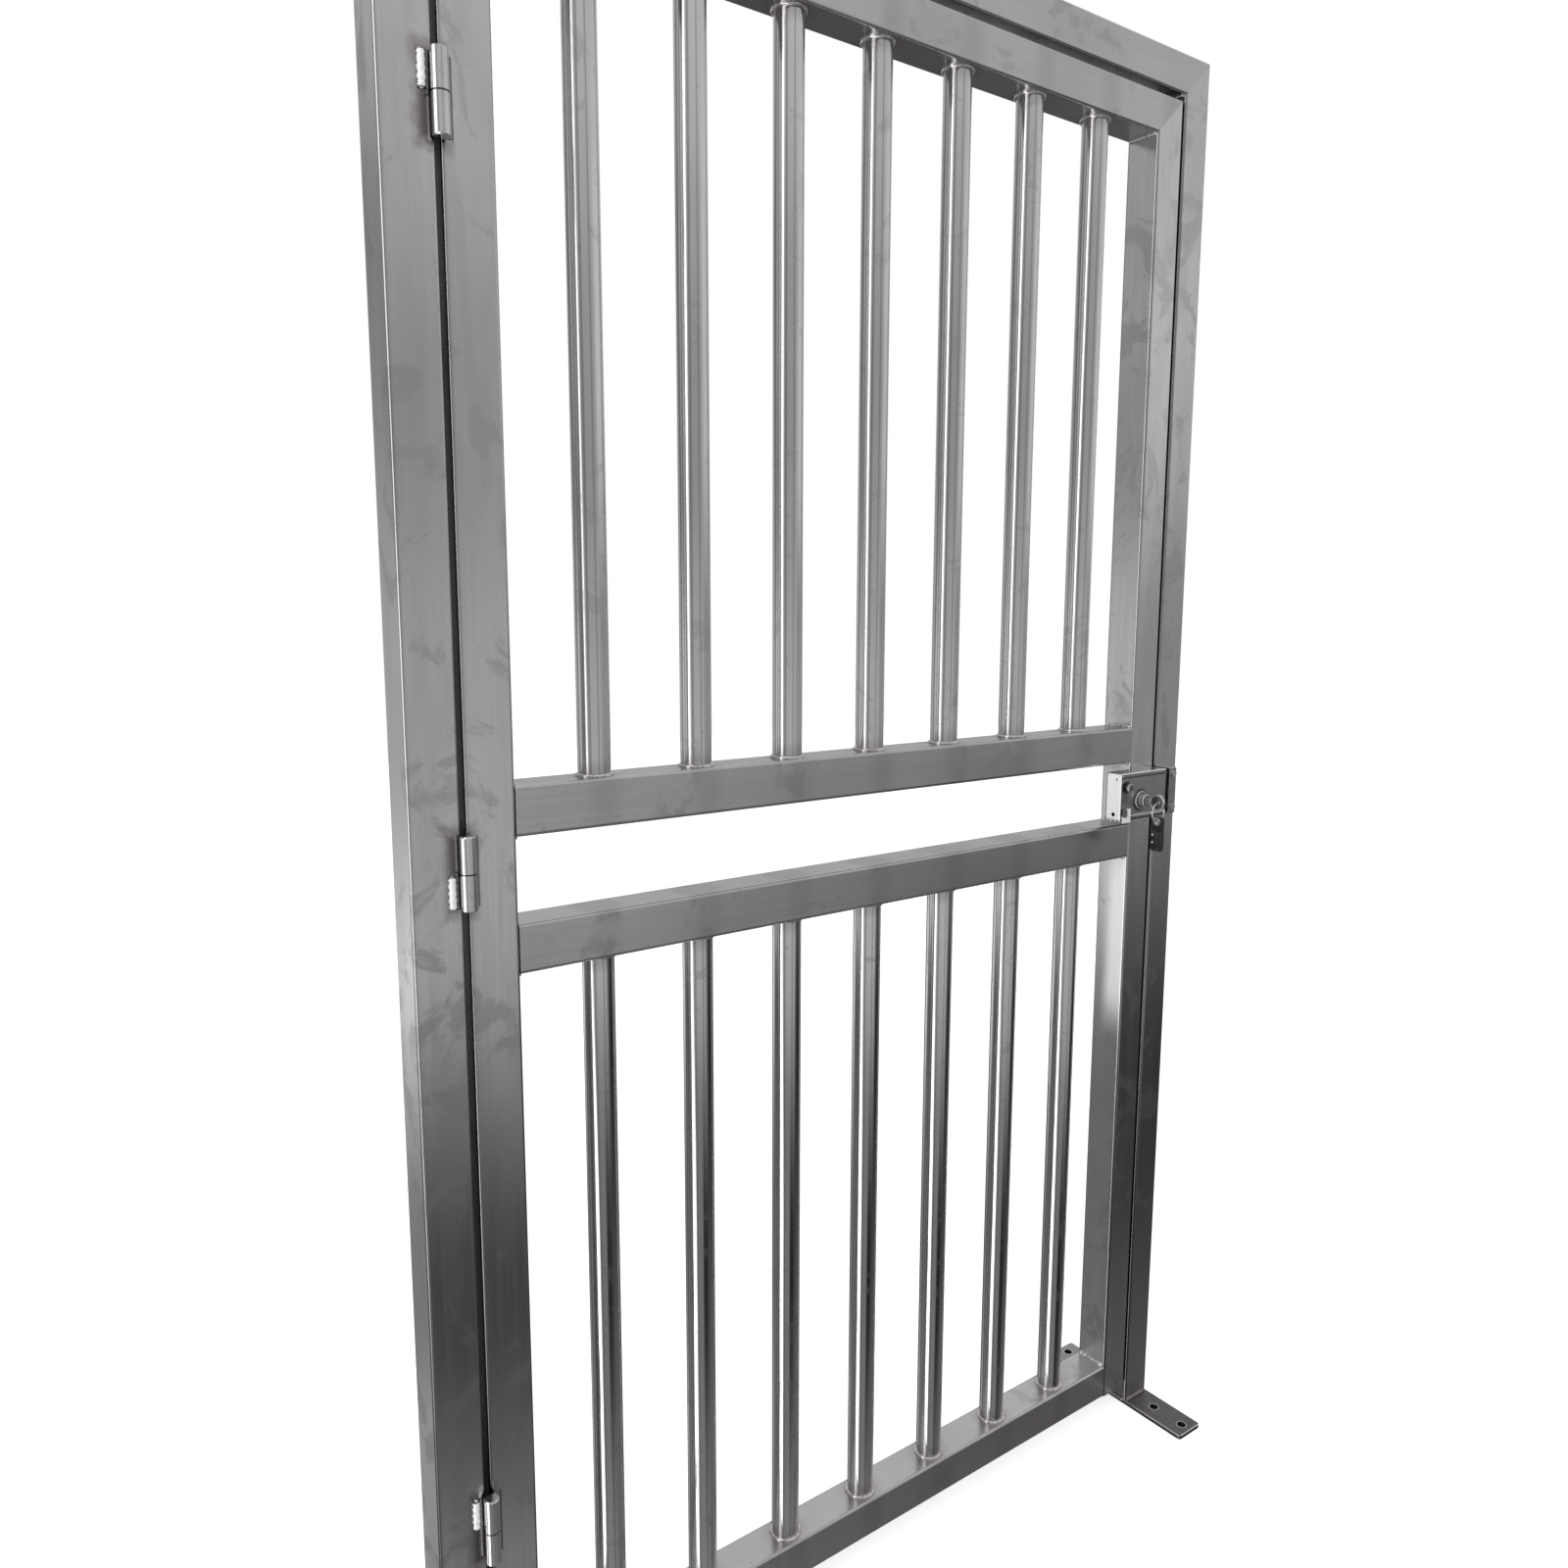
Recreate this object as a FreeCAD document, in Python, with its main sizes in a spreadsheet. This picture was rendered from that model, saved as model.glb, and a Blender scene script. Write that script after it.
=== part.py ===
import FreeCAD, Part
import math
import os
import Sketcher
from FreeCAD import Placement, Rotation, Vector

# Livestock panel gate: a floor-standing portal of square tube with one barred leaf on three
# weld-on barrel hinges, and a surface lock at the closing side.
# Frame of the part: X across the gate, Y through it with the hinge side at -Y, Z up.
# Origin: on the floor, half way across the gate, in the middle plane of the tubes.

DRIVING = [
    # overall
    ("frame_width", 1140.0, "outside to outside of the two posts"),
    ("frame_height", 1965.0, "floor to the top of the header"),
    # tube
    ("tube_size", 50.0, "side of the square tube"),
    ("tube_wall", 2.0, "wall of the square tube"),
    ("tube_corner", 3.5, "outer corner radius of the square tube"),
    ("cap_thickness", 2.0, "plate that closes a stile's lower end"),
    ("cap_clearance", 0.2, "gap between an end cap and the tube wall"),
    # floor plates
    ("foot_length", 250.0, "floor plate, along Y"),
    ("foot_thickness", 6.0, "floor plate thickness"),
    ("foot_corner", 5.0, "floor plate corner radius"),
    ("foot_edge", 0.8, "chamfer round the floor plate's top"),
    ("anchor_hole", 12.0, "floor bolt hole diameter"),
    ("anchor_near", 60.0, "post centre to the nearer floor bolt"),
    ("anchor_far", 110.0, "post centre to the farther floor bolt"),
    # gaps round the leaf
    ("side_gap", 5.0, "leaf to post, each side"),
    ("top_gap", 9.0, "leaf to header"),
    ("floor_gap", 30.0, "floor plate to leaf"),
    # leaf
    ("strip_bottom", 931.0, "top of the lower middle rail"),
    ("strip_height", 87.0, "open strip between the two middle rails"),
    ("bar_diameter", 33.7, "round bar tube, outside"),
    ("bar_wall", 2.0, "round bar tube, wall"),
    ("bar_end_gap", 80.65, "free space between a stile and the bar next to it"),
    # hinges
    ("hinge_low", 272.0, "lower hinge above the leaf's bottom"),
    ("hinge_high", 232.0, "upper hinge below the leaf's top"),
    ("hinge_length", 72.0, "both knuckles with the washer between them"),
    ("hinge_diameter", 16.0, "outside of a knuckle"),
    ("hinge_pin", 9.0, "pin diameter"),
    ("hinge_clearance", 0.05, "radial play of the pin in the turning knuckle"),
    ("hinge_washer", 1.5, "thrust washer thickness"),
    ("washer_play", 0.1, "gap above and below the thrust washer, in all"),
    ("washer_step", 1.0, "thrust washer, smaller across than a knuckle"),
    ("hinge_end", 4.0, "solid end of a knuckle beyond its bore"),
    ("hinge_edge", 1.2, "chamfer at a knuckle's outer end"),
    ("pin_play", 1.0, "space beyond the pin's end in the turning knuckle"),
    ("seam_reach", 17.0, "hinge axis to the outer edge of the weld seam"),
    ("seam_start", 3.0, "hinge axis to the inner edge of the weld seam"),
    ("leaf_seam_reach", 11.0, "hinge axis to the outer edge of the leaf's ground seam"),
    ("seam_width", 7.0, "raised bead of the weld seam"),
    ("seam_height", 3.5, "raised bead, standing off the tube"),
    ("seam_root", 1.0, "weld seam between bead and knuckle, standing off the tube"),
    ("seam_margin", 2.0, "weld seam, shorter than its knuckle at each end"),
    # lock
    ("lock_width", 100.0, "lock case, across"),
    ("lock_height", 66.0, "lock case, up"),
    ("lock_depth", 23.0, "lock case, in front of its back plate"),
    ("lock_sheet", 1.5, "sheet of the lock case"),
    ("lock_inset", 2.0, "lock case back from the leaf's closing edge"),
    ("lock_rise", 12.0, "lock case above the lower middle rail"),
    ("lock_corner", 3.0, "corner radius of the lock case"),
    ("case_edge", 1.2, "edge radius round the case's and the strike's front"),
    ("lip_edge", 0.7, "edge radius of the folded lips"),
    ("back_plate", 2.0, "back plate of the lock"),
    ("lip_height", 5.0, "folded lip along the case's top and bottom"),
    ("lip_proud", 1.5, "folded lip, in front of the case"),
    ("plug_from_edge", 57.0, "key axis back from the case's bolt end"),
    ("plug_rise", 26.0, "key axis above the case's bottom"),
    ("plug_diameter", 12.0, "turning plug of the cylinder"),
    ("plug_play", 0.08, "radial play of the plug in its housing"),
    ("plug_proud", 0.6, "plug, in front of its housing"),
    ("neck_diameter", 18.0, "housing of the cylinder"),
    ("neck_length", 9.0, "housing in front of its flange"),
    ("neck_inside", 12.0, "housing behind the case's front"),
    ("flange_diameter", 26.0, "flange of the housing"),
    ("flange_thickness", 3.0, "flange of the housing, along the key"),
    ("turned_edge", 1.0, "edge radius of the housing and its flange"),
    ("nut_diameter", 24.0, "round nut behind the case's front"),
    ("nut_thickness", 3.0, "round nut, along the key"),
    ("fit_gap", 0.3, "free gap round pieces that slide or sit in a cut-out"),
    ("cam_radius", 12.0, "key axis to the cam's driving pin"),
    ("cam_thickness", 3.0, "cam plate"),
    ("cam_arm", 6.0, "width of the cam's arm"),
    ("cam_tip", 7.0, "round end of the cam's arm"),
    ("cam_pin", 4.0, "driving pin diameter"),
    ("bolt_height", 20.0, "bolt head, up"),
    ("bolt_thickness", 13.0, "bolt head, through"),
    ("bolt_length", 29.0, "bolt head, along its travel"),
    ("bolt_rise", 23.0, "bottom of the bolt head above the case's bottom"),
    ("tail_margin", 6.8, "bolt tail behind the driving pin's slot"),
    ("tail_height", 12.5, "bolt tail, up"),
    ("tail_thickness", 3.0, "bolt tail plate"),
    ("slot_play", 0.75, "play each side of the driving pin in its slot"),
    ("guide_pin", 5.0, "bolt guide pin diameter"),
    ("guide_from_edge", 37.0, "guide pin back from the case's bolt end"),
    ("guide_head", 8.0, "bolt guide pin head diameter"),
    ("lock_screw", 5.0, "screw shank diameter in the lock"),
    ("screw_head", 9.0, "screw head diameter"),
    ("screw_head_height", 2.6, "screw head height"),
    ("screw_reach", 3.0, "screw shank behind the tube wall"),
    ("screw_margin", 8.0, "screw from the case's top or bottom"),
    ("seal_hole", 6.0, "hole in the case's side and in its tab"),
    ("tab_width", 16.5, "drilled tab, across"),
    ("tab_height", 19.5, "drilled tab, up"),
    ("tab_inset", 3.0, "tab from the case's free end, and below its bottom"),
    # hold-back button
    ("button_inset", 13.0, "button axis from the case's free end"),
    ("button_rise", 46.0, "button axis above the case's bottom"),
    ("button_diameter", 13.0, "button head"),
    ("button_head", 3.5, "button head thickness"),
    ("button_edge", 1.6, "edge radius of the button head"),
    ("button_travel", 4.0, "how far the button pushes in"),
    ("button_stem", 7.0, "button stem diameter"),
    ("button_collar", 11.5, "collar that keeps the button in"),
    ("collar_thickness", 1.5, "collar thickness"),
    ("spring_wire", 0.9, "button spring wire"),
    ("spring_radius", 4.9, "button spring, mean radius"),
    ("spring_turns", 5.0, "button spring turns"),
    # key, ring and tag
    ("key_thickness", 2.2, "key sheet"),
    ("key_blade", 8.0, "key blade height"),
    ("key_slope", 2.7, "slope at the blade's tip, along the blade"),
    ("key_tip", 2.7, "blade height at its tip"),
    ("key_gap", 0.2, "free gap round the blade in the keyway"),
    ("key_reach", 21.0, "key blade inside the plug"),
    ("key_neck", 5.0, "key between plug and bow"),
    ("key_bow", 23.0, "key bow diameter"),
    ("key_eye", 7.0, "hole in the key bow"),
    ("eye_shift", 1.75, "hole outward of the bow's centre"),
    ("ring_radius", 13.0, "key ring, mean radius"),
    ("ring_wire", 2.0, "key ring wire"),
    ("tag_width", 19.0, "tag on the key ring"),
    ("tag_length", 42.0, "tag below its eyelet's centre"),
    ("tag_thickness", 4.0, "tag thickness"),
    ("tag_eye", 8.0, "eyelet bore in the tag"),
    ("tag_edge", 6.5, "tag above its eyelet's centre"),
    ("tag_corner", 4.75, "corner radius of the tag"),
    ("eyelet_rim", 2.0, "eyelet rim width"),
    ("eyelet_sheet", 0.5, "sheet of the eyelet"),
    # strike
    ("strike_width", 18.0, "strike box, across"),
    ("strike_sheet", 2.0, "strike box sheet"),
    ("strike_screw", 5.0, "strike screw diameter"),
    ("strike_margin", 9.0, "strike screw from the box's top or bottom"),
]

BAR_COUNT = 7
KEY_TURN = 90.0
TOLERANCE = 1e-6

doc = FreeCAD.newDocument("PanelGate")
sheet = doc.addObject("Spreadsheet::Sheet", "Size")
for row, (alias, value, note) in enumerate(DRIVING, start=1):
    sheet.set(f"A{row}", alias)
    sheet.set(f"B{row}", str(value))
    sheet.set(f"C{row}", note)
    sheet.setAlias(f"B{row}", alias)
doc.recompute()

sub_parts = []


# Helpers

def number(expression):
    """Value of an expression of the sheet's cells, written with the sheet's name."""
    return float(sheet.evalExpression(str(expression).replace("Size.", "")))


def keep(piece, label):
    """Give a sub-part its name and put it on the list of what is exported."""
    piece.Label = label
    sub_parts.append(piece)
    return piece


def place(piece, x="0", y="0", z="0", turn=None):
    """Put a piece at a position given by expressions, with an optional fixed turn."""
    if turn is not None:
        piece.Placement = Placement(Vector(), turn)
    for axis, expression in (("x", x), ("y", y), ("z", z)):
        piece.setExpression(f"Placement.Base.{axis}", expression)
    return piece


def new_body(label):
    body = doc.addObject("PartDesign::Body", "Body_" + label)
    return keep(body, label)


def new_sketch(body, name, role, offset=None):
    """A sketch on one of the body's own origin planes, moved off it by an expression."""
    sketch = body.newObject("Sketcher::SketchObject", name)
    plane = next(item for item in body.Origin.OriginFeatures if item.Role == role)
    sketch.AttachmentSupport = [(plane, "")]
    sketch.MapMode = "FlatFace"
    if offset is not None:
        sketch.setExpression("AttachmentOffset.Base.z", offset)
    return sketch


def bind(sketch, constraint, name, expression):
    """Add a sized constraint and tie it to an expression."""
    index = sketch.addConstraint(constraint)
    sketch.renameConstraint(index, name)
    sketch.setExpression("Constraints." + name, expression)


def draw_outline(sketch, corners, prefix="corner"):
    """A closed outline of straight lines; every corner is held by its two distances."""
    first = sketch.GeometryCount
    points = [Vector(number(x), number(y), 0) for x, y in corners]
    count = len(points)
    for index in range(count):
        following = points[(index + 1) % count]
        sketch.addGeometry(Part.LineSegment(points[index], following), False)
    for index in range(count):
        line = first + index
        next_line = first + (index + 1) % count
        sketch.addConstraint(Sketcher.Constraint("Coincident", line, 2, next_line, 1))
    for index, (x, y) in enumerate(corners):
        line = first + index
        along = Sketcher.Constraint("DistanceX", -1, 1, line, 1, points[index].x)
        bind(sketch, along, f"{prefix}{index}x", x)
        up = Sketcher.Constraint("DistanceY", -1, 1, line, 1, points[index].y)
        bind(sketch, up, f"{prefix}{index}y", y)


def draw_circle(sketch, x, y, diameter, prefix):
    """A circle held by its centre's two distances and its diameter."""
    centre = Vector(number(x), number(y), 0)
    radius = number(diameter) / 2
    circle = sketch.GeometryCount
    sketch.addGeometry(Part.Circle(centre, Vector(0, 0, 1), radius), False)
    bind(sketch, Sketcher.Constraint("Diameter", circle, 2 * radius), prefix + "d", diameter)
    bind(sketch, Sketcher.Constraint("DistanceX", -1, 1, circle, 3, centre.x), prefix + "x", x)
    bind(sketch, Sketcher.Constraint("DistanceY", -1, 1, circle, 3, centre.y), prefix + "y", y)


def draw_rounded(sketch, width, height, radius, prefix):
    """A rectangle with round corners, centred on the sketch's origin."""
    half_width = number(width) / 2
    half_height = number(height) / 2
    corner = number(radius)
    first = sketch.GeometryCount
    flat_x = half_width - corner
    flat_y = half_height - corner
    ends = [
        (Vector(-flat_x, half_height, 0), Vector(flat_x, half_height, 0)),
        (Vector(half_width, flat_y, 0), Vector(half_width, -flat_y, 0)),
        (Vector(flat_x, -half_height, 0), Vector(-flat_x, -half_height, 0)),
        (Vector(-half_width, -flat_y, 0), Vector(-half_width, flat_y, 0)),
    ]
    for start, finish in ends:
        sketch.addGeometry(Part.LineSegment(start, finish), False)
    centres = [(flat_x, flat_y, 0), (flat_x, -flat_y, -90), (-flat_x, -flat_y, 180), (-flat_x, flat_y, 90)]
    for x, y, start_angle in centres:
        circle = Part.Circle(Vector(x, y, 0), Vector(0, 0, 1), corner)
        start = math.radians(start_angle)
        sketch.addGeometry(Part.ArcOfCircle(circle, start, start + math.pi / 2), False)
    for index in range(4):
        line = first + index
        arc = first + 4 + index
        next_line = first + (index + 1) % 4
        sketch.addConstraint(Sketcher.Constraint("Tangent", line, 2, arc, 2))
        sketch.addConstraint(Sketcher.Constraint("Tangent", arc, 1, next_line, 1))
    for index in (0, 2):
        sketch.addConstraint(Sketcher.Constraint("Horizontal", first + index))
    for index in (1, 3):
        sketch.addConstraint(Sketcher.Constraint("Vertical", first + index))
    for index in (1, 2, 3):
        sketch.addConstraint(Sketcher.Constraint("Equal", first + 4, first + 4 + index))
    bind(sketch, Sketcher.Constraint("Radius", first + 4, corner), prefix + "r", radius)
    across = Sketcher.Constraint("DistanceX", first + 3, 1, first + 1, 1, 2 * half_width)
    bind(sketch, across, prefix + "w", width)
    upward = Sketcher.Constraint("DistanceY", first + 2, 1, first, 1, 2 * half_height)
    bind(sketch, upward, prefix + "t", height)
    sketch.addConstraint(Sketcher.Constraint("Symmetric", first + 4, 3, first + 6, 3, -1, 1))


def pad(body, sketch, length):
    feature = body.newObject("PartDesign::Pad", "Pad")
    feature.Profile = sketch
    feature.setExpression("Length", length)
    return feature


def chamfer_top(body, base, size):
    """Chamfer all round the top face of a pad."""
    doc.recompute()
    top = base.Shape.BoundBox.ZMax - TOLERANCE
    edges = enumerate(base.Shape.Edges, start=1)
    names = [f"Edge{index}" for index, edge in edges if edge.CenterOfMass.z > top]
    feature = body.newObject("PartDesign::Chamfer", "Chamfer")
    feature.Base = (base, names)
    feature.setExpression("Size", size)


def cut_through(body, sketch):
    """A pocket through everything on both sides of its sketch; it has to take material away."""
    doc.recompute()
    before = body.Shape.Volume
    feature = body.newObject("PartDesign::Pocket", "Pocket")
    feature.Profile = sketch
    feature.Type = "ThroughAll"
    feature.Midplane = True
    doc.recompute()
    if body.Shape.Volume > before - TOLERANCE:
        raise RuntimeError(f"{body.Label}: the cut of {sketch.Name} took nothing away")
    return feature


def drill_back_wall(body, places, diameter):
    """Screw holes through the one tube wall on the local +Y side."""
    doc.recompute()
    before = body.Shape.Volume
    face = new_sketch(body, "Holes", "XZ_Plane", f"0 - {HALF_TUBE}")
    for index, (x, z) in enumerate(places):
        draw_circle(face, x, z, diameter, f"hole{index}")
    feature = body.newObject("PartDesign::Pocket", "Drilled")
    feature.Profile = face
    feature.setExpression("Length", "Size.tube_wall")
    feature.Reversed = True
    doc.recompute()
    if body.Shape.Volume > before - TOLERANCE:
        raise RuntimeError(f"{body.Label}: the screw holes took nothing away")


def turn_round(body, sketch):
    """A full revolution about the sketch's own vertical axis."""
    feature = body.newObject("PartDesign::Revolution", "Revolution")
    feature.Profile = sketch
    feature.ReferenceAxis = (sketch, ["V_Axis"])
    feature.Angle = 360.0
    return feature


def box(x, y, z, width, depth, height):
    """A Part box with every size and place given by an expression."""
    solid = doc.addObject("Part::Box", "Box")
    solid.setExpression("Length", width)
    solid.setExpression("Width", depth)
    solid.setExpression("Height", height)
    return place(solid, x, y, z)


def rod(x, y, z, diameter, length, turn=None):
    """A Part cylinder that starts at a point and runs along local Z, turned as given."""
    solid = doc.addObject("Part::Cylinder", "Rod")
    solid.setExpression("Radius", f"({diameter}) / 2")
    solid.setExpression("Height", length)
    return place(solid, x, y, z, turn)


def fuse(pieces):
    joined = doc.addObject("Part::MultiFuse", "Fuse")
    joined.Shapes = pieces
    return joined


def cut(base, tools):
    """Base less its tools; the cut has to take material away."""
    result = doc.addObject("Part::Cut", "Cut")
    result.Base = base
    result.Tool = tools[0] if len(tools) == 1 else fuse(tools)
    doc.recompute()
    if result.Shape.Volume > base.Shape.Volume - TOLERANCE:
        raise RuntimeError("a cut took nothing away")
    return result


def round_edges(base, radius, wanted):
    """Fillet the base's edges that the test picks."""
    doc.recompute()
    rounded = doc.addObject("Part::Fillet", "Fillet")
    rounded.Base = base
    chosen = [index for index, edge in enumerate(base.Shape.Edges, start=1) if wanted(edge)]
    rounded.Edges = [(index, radius, radius) for index in chosen]
    return rounded


def runs_along(edge, axis):
    """Whether a straight edge runs along a unit axis."""
    if edge.Curve.TypeId != "Part::GeomLine":
        return False
    return abs(abs(edge.Curve.Direction.dot(axis)) - 1) < TOLERANCE


FORWARD = Rotation(Vector(1, 0, 0), 90)       # local Z to -Y, out of the gate's front
SIDEWAYS = Rotation(Vector(0, 1, 0), 90)      # local Z to +X
FLIPPED = Rotation(Vector(0, 1, 0), 180)      # upside down, front kept in front


# Places that pieces share

HALF_TUBE = "Size.tube_size / 2"
POST_X = "(Size.frame_width - Size.tube_size) / 2"
LEAF_HALF = "(Size.frame_width / 2 - Size.tube_size - Size.side_gap)"
STILE_X = f"({LEAF_HALF} - Size.tube_size / 2)"
LEAF_BOTTOM = "(Size.foot_thickness + Size.floor_gap)"
LEAF_TOP = "(Size.frame_height - Size.tube_size - Size.top_gap)"
RAIL_HALF = f"({LEAF_HALF} - Size.tube_size)"
STRIP_TOP = "(Size.strip_bottom + Size.strip_height)"
BAR_SPAN = f"(2 * {RAIL_HALF} - 2 * Size.bar_end_gap - Size.bar_diameter)"
FRONT = "(0 - Size.tube_size / 2)"

HINGE_X = "(0 - Size.frame_width / 2 + Size.tube_size + Size.side_gap / 2)"
HINGE_Y = "(0 - Size.tube_size / 2 - Size.hinge_diameter / 2)"
KNUCKLE_BREAK = "(Size.hinge_washer + Size.washer_play)"
KNUCKLE_LENGTH = f"((Size.hinge_length - {KNUCKLE_BREAK}) / 2)"

LOCK_X = f"({LEAF_HALF} - Size.lock_inset - Size.lock_width)"
LOCK_Z = "(Size.strip_bottom + Size.lock_rise)"
CASE_BACK = f"({FRONT} - Size.back_plate)"
CASE_FRONT = f"({CASE_BACK} - Size.lock_depth)"
PLUG_X = f"({LOCK_X} + Size.lock_width - Size.plug_from_edge)"
PLUG_Z = f"({LOCK_Z} + Size.plug_rise)"
CAM_FRONT = f"({CASE_FRONT} + Size.neck_inside + Size.fit_gap)"
CAM_BACK = f"({CAM_FRONT} + Size.cam_thickness)"
TAIL_FRONT = f"({CAM_BACK} + 2 * Size.fit_gap)"
TAIL_BACK = f"({TAIL_FRONT} + Size.tail_thickness)"
NECK_FRONT = f"({CASE_FRONT} - Size.flange_thickness - Size.neck_length)"
PLUG_FRONT = f"({NECK_FRONT} - Size.plug_proud)"
CAM_REACH = "(Size.cam_radius * sqrt(2) / 2)"      # driving pin, sideways and up from the key axis
BOLT_X = f"({LOCK_X} + Size.lock_width - Size.bolt_length)"
BOLT_Z = f"({LOCK_Z} + Size.bolt_rise)"
TAIL_Z = f"({BOLT_Z} + Size.bolt_height - Size.tail_height)"
GUIDE_X = f"({LOCK_X} + Size.lock_width - Size.guide_from_edge)"
GUIDE_Z = f"({TAIL_Z} + Size.tail_height / 2)"
DRIVE_SLOT = "(Size.cam_pin + 2 * Size.slot_play)"
TAIL_LENGTH = f"({BOLT_X} - {PLUG_X} + {CAM_REACH} + {DRIVE_SLOT} / 2 + Size.tail_margin)"
BUTTON_X = f"({LOCK_X} + Size.button_inset)"
BUTTON_Z = f"({LOCK_Z} + Size.button_rise)"
COLLAR_FRONT = f"({CASE_FRONT} + Size.lock_sheet + Size.fit_gap)"
KEY_EYE_Y = f"({PLUG_FRONT} - Size.key_neck - Size.key_bow / 2 - Size.eye_shift)"
RING_Z = f"({PLUG_Z} - Size.ring_radius)"
STRIKE_X = "(Size.frame_width / 2 - Size.tube_size)"
STRIKE_SCREW_X = f"({STRIKE_X} + Size.strike_width / 2)"
STRIKE_SCREW_HEIGHTS = (
    f"({LOCK_Z} + Size.strike_margin)",
    f"({LOCK_Z} + Size.lock_height - Size.strike_margin)",
)


# Tubes and plates

def square_tube(label, length, start_mitre=False, end_mitre=False):
    """Square tube along local Z from 0; a mitre takes its +X side away at 45 degrees."""
    body = new_body(label)
    profile = new_sketch(body, "Profile", "XY_Plane")
    draw_rounded(profile, "Size.tube_size", "Size.tube_size", "Size.tube_corner", "outer")
    inner = "Size.tube_size - 2 * Size.tube_wall"
    draw_rounded(profile, inner, inner, "Size.tube_corner - Size.tube_wall", "inner")
    pad(body, profile, length)
    wedges = []
    if start_mitre:
        wedges.append(("start", "0", "Size.tube_size"))
    if end_mitre:
        wedges.append(("finish", length, f"({length}) - Size.tube_size"))
    for name, outside, inside in wedges:
        wedge = new_sketch(body, name, "XZ_Plane")
        far_side = (f"0 - {HALF_TUBE}", outside)
        near_side = (HALF_TUBE, outside)
        draw_outline(wedge, [far_side, near_side, (HALF_TUBE, inside)])
        cut_through(body, wedge)
    return body


def round_bar(label, x, z, length):
    body = new_body(label)
    profile = new_sketch(body, "Profile", "XY_Plane")
    draw_circle(profile, "0", "0", "Size.bar_diameter", "outer")
    draw_circle(profile, "0", "0", "Size.bar_diameter - 2 * Size.bar_wall", "inner")
    pad(body, profile, length)
    return place(body, x, "0", z)


def foot_plate(label, x):
    """Floor plate under a post, with a near and a far anchor hole on each side of it."""
    body = new_body(label)
    outline = new_sketch(body, "Outline", "XY_Plane")
    draw_rounded(outline, "Size.tube_size", "Size.foot_length", "Size.foot_corner", "plate")
    plate = pad(body, outline, "Size.foot_thickness")
    chamfer_top(body, plate, "Size.foot_edge")
    holes = new_sketch(body, "Anchors", "XY_Plane")
    offsets = ("0 - Size.anchor_far", "0 - Size.anchor_near", "Size.anchor_near", "Size.anchor_far")
    for index, offset in enumerate(offsets):
        draw_circle(holes, "0", offset, "Size.anchor_hole", f"hole{index}")
    cut_through(body, holes)
    return place(body, x)


def end_cap(label, x):
    """Plate welded into the open lower end of a stile."""
    body = new_body(label)
    outline = new_sketch(body, "Outline", "XY_Plane")
    side = "Size.tube_size - 2 * Size.tube_wall - 2 * Size.cap_clearance"
    draw_rounded(outline, side, side, "Size.tube_corner - Size.tube_wall", "cap")
    pad(body, outline, "Size.cap_thickness")
    return place(body, x, "0", LEAF_BOTTOM)


def build_portal():
    post_length = "Size.frame_height - Size.foot_thickness"
    left_post = square_tube("left_post", post_length, end_mitre=True)
    place(left_post, f"0 - {POST_X}", "0", "Size.foot_thickness")
    right_post = square_tube("right_post", post_length, end_mitre=True)
    screw_step = f"{POST_X} - {STRIKE_SCREW_X}"
    strike_holes = [(screw_step, f"{height} - Size.foot_thickness") for height in STRIKE_SCREW_HEIGHTS]
    drill_back_wall(right_post, strike_holes, "Size.strike_screw")
    place(right_post, POST_X, "0", "Size.foot_thickness", Rotation(Vector(0, 0, 1), 180))
    header = square_tube("header", "Size.frame_width", start_mitre=True, end_mitre=True)
    header_z = f"Size.frame_height - {HALF_TUBE}"
    place(header, "0 - Size.frame_width / 2", "0", header_z, SIDEWAYS)
    foot_plate("left_foot_plate", f"0 - {POST_X}")
    foot_plate("right_foot_plate", POST_X)


def build_leaf():
    stile_length = f"{LEAF_TOP} - {LEAF_BOTTOM}"
    hinge_stile = square_tube("hinge_stile", stile_length, end_mitre=True)
    place(hinge_stile, f"0 - {STILE_X}", "0", LEAF_BOTTOM)
    closing_stile = square_tube("closing_stile", stile_length, end_mitre=True)
    lock_holes = [(f"{STILE_X} - {x}", f"{z} - {LEAF_BOTTOM}") for x, z in screw_places()]
    drill_back_wall(closing_stile, lock_holes, "Size.lock_screw")
    place(closing_stile, STILE_X, "0", LEAF_BOTTOM, Rotation(Vector(0, 0, 1), 180))
    top_rail = square_tube("top_rail", f"2 * {LEAF_HALF}", start_mitre=True, end_mitre=True)
    place(top_rail, f"0 - {LEAF_HALF}", "0", f"{LEAF_TOP} - {HALF_TUBE}", SIDEWAYS)
    butted = (
        ("upper_middle_rail", f"{STRIP_TOP} + {HALF_TUBE}"),
        ("lower_middle_rail", f"Size.strip_bottom - {HALF_TUBE}"),
        ("bottom_rail", f"{LEAF_BOTTOM} + {HALF_TUBE}"),
    )
    for label, height in butted:
        rail = square_tube(label, f"2 * {RAIL_HALF}")
        place(rail, f"0 - {RAIL_HALF}", "0", height, SIDEWAYS)
    end_cap("hinge_stile_cap", f"0 - {STILE_X}")
    end_cap("closing_stile_cap", STILE_X)
    upper_start = f"{STRIP_TOP} + Size.tube_size"
    upper_length = f"{LEAF_TOP} - Size.tube_size - ({upper_start})"
    lower_start = f"{LEAF_BOTTOM} + Size.tube_size"
    lower_length = f"Size.strip_bottom - Size.tube_size - ({lower_start})"
    for index in range(BAR_COUNT):
        steps = index - (BAR_COUNT - 1) / 2
        x = f"{BAR_SPAN} * ({steps}) / ({BAR_COUNT - 1})"
        round_bar(f"upper_bar_{index + 1}", x, upper_start, upper_length)
        round_bar(f"lower_bar_{index + 1}", x, lower_start, lower_length)


# Hinges

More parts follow.
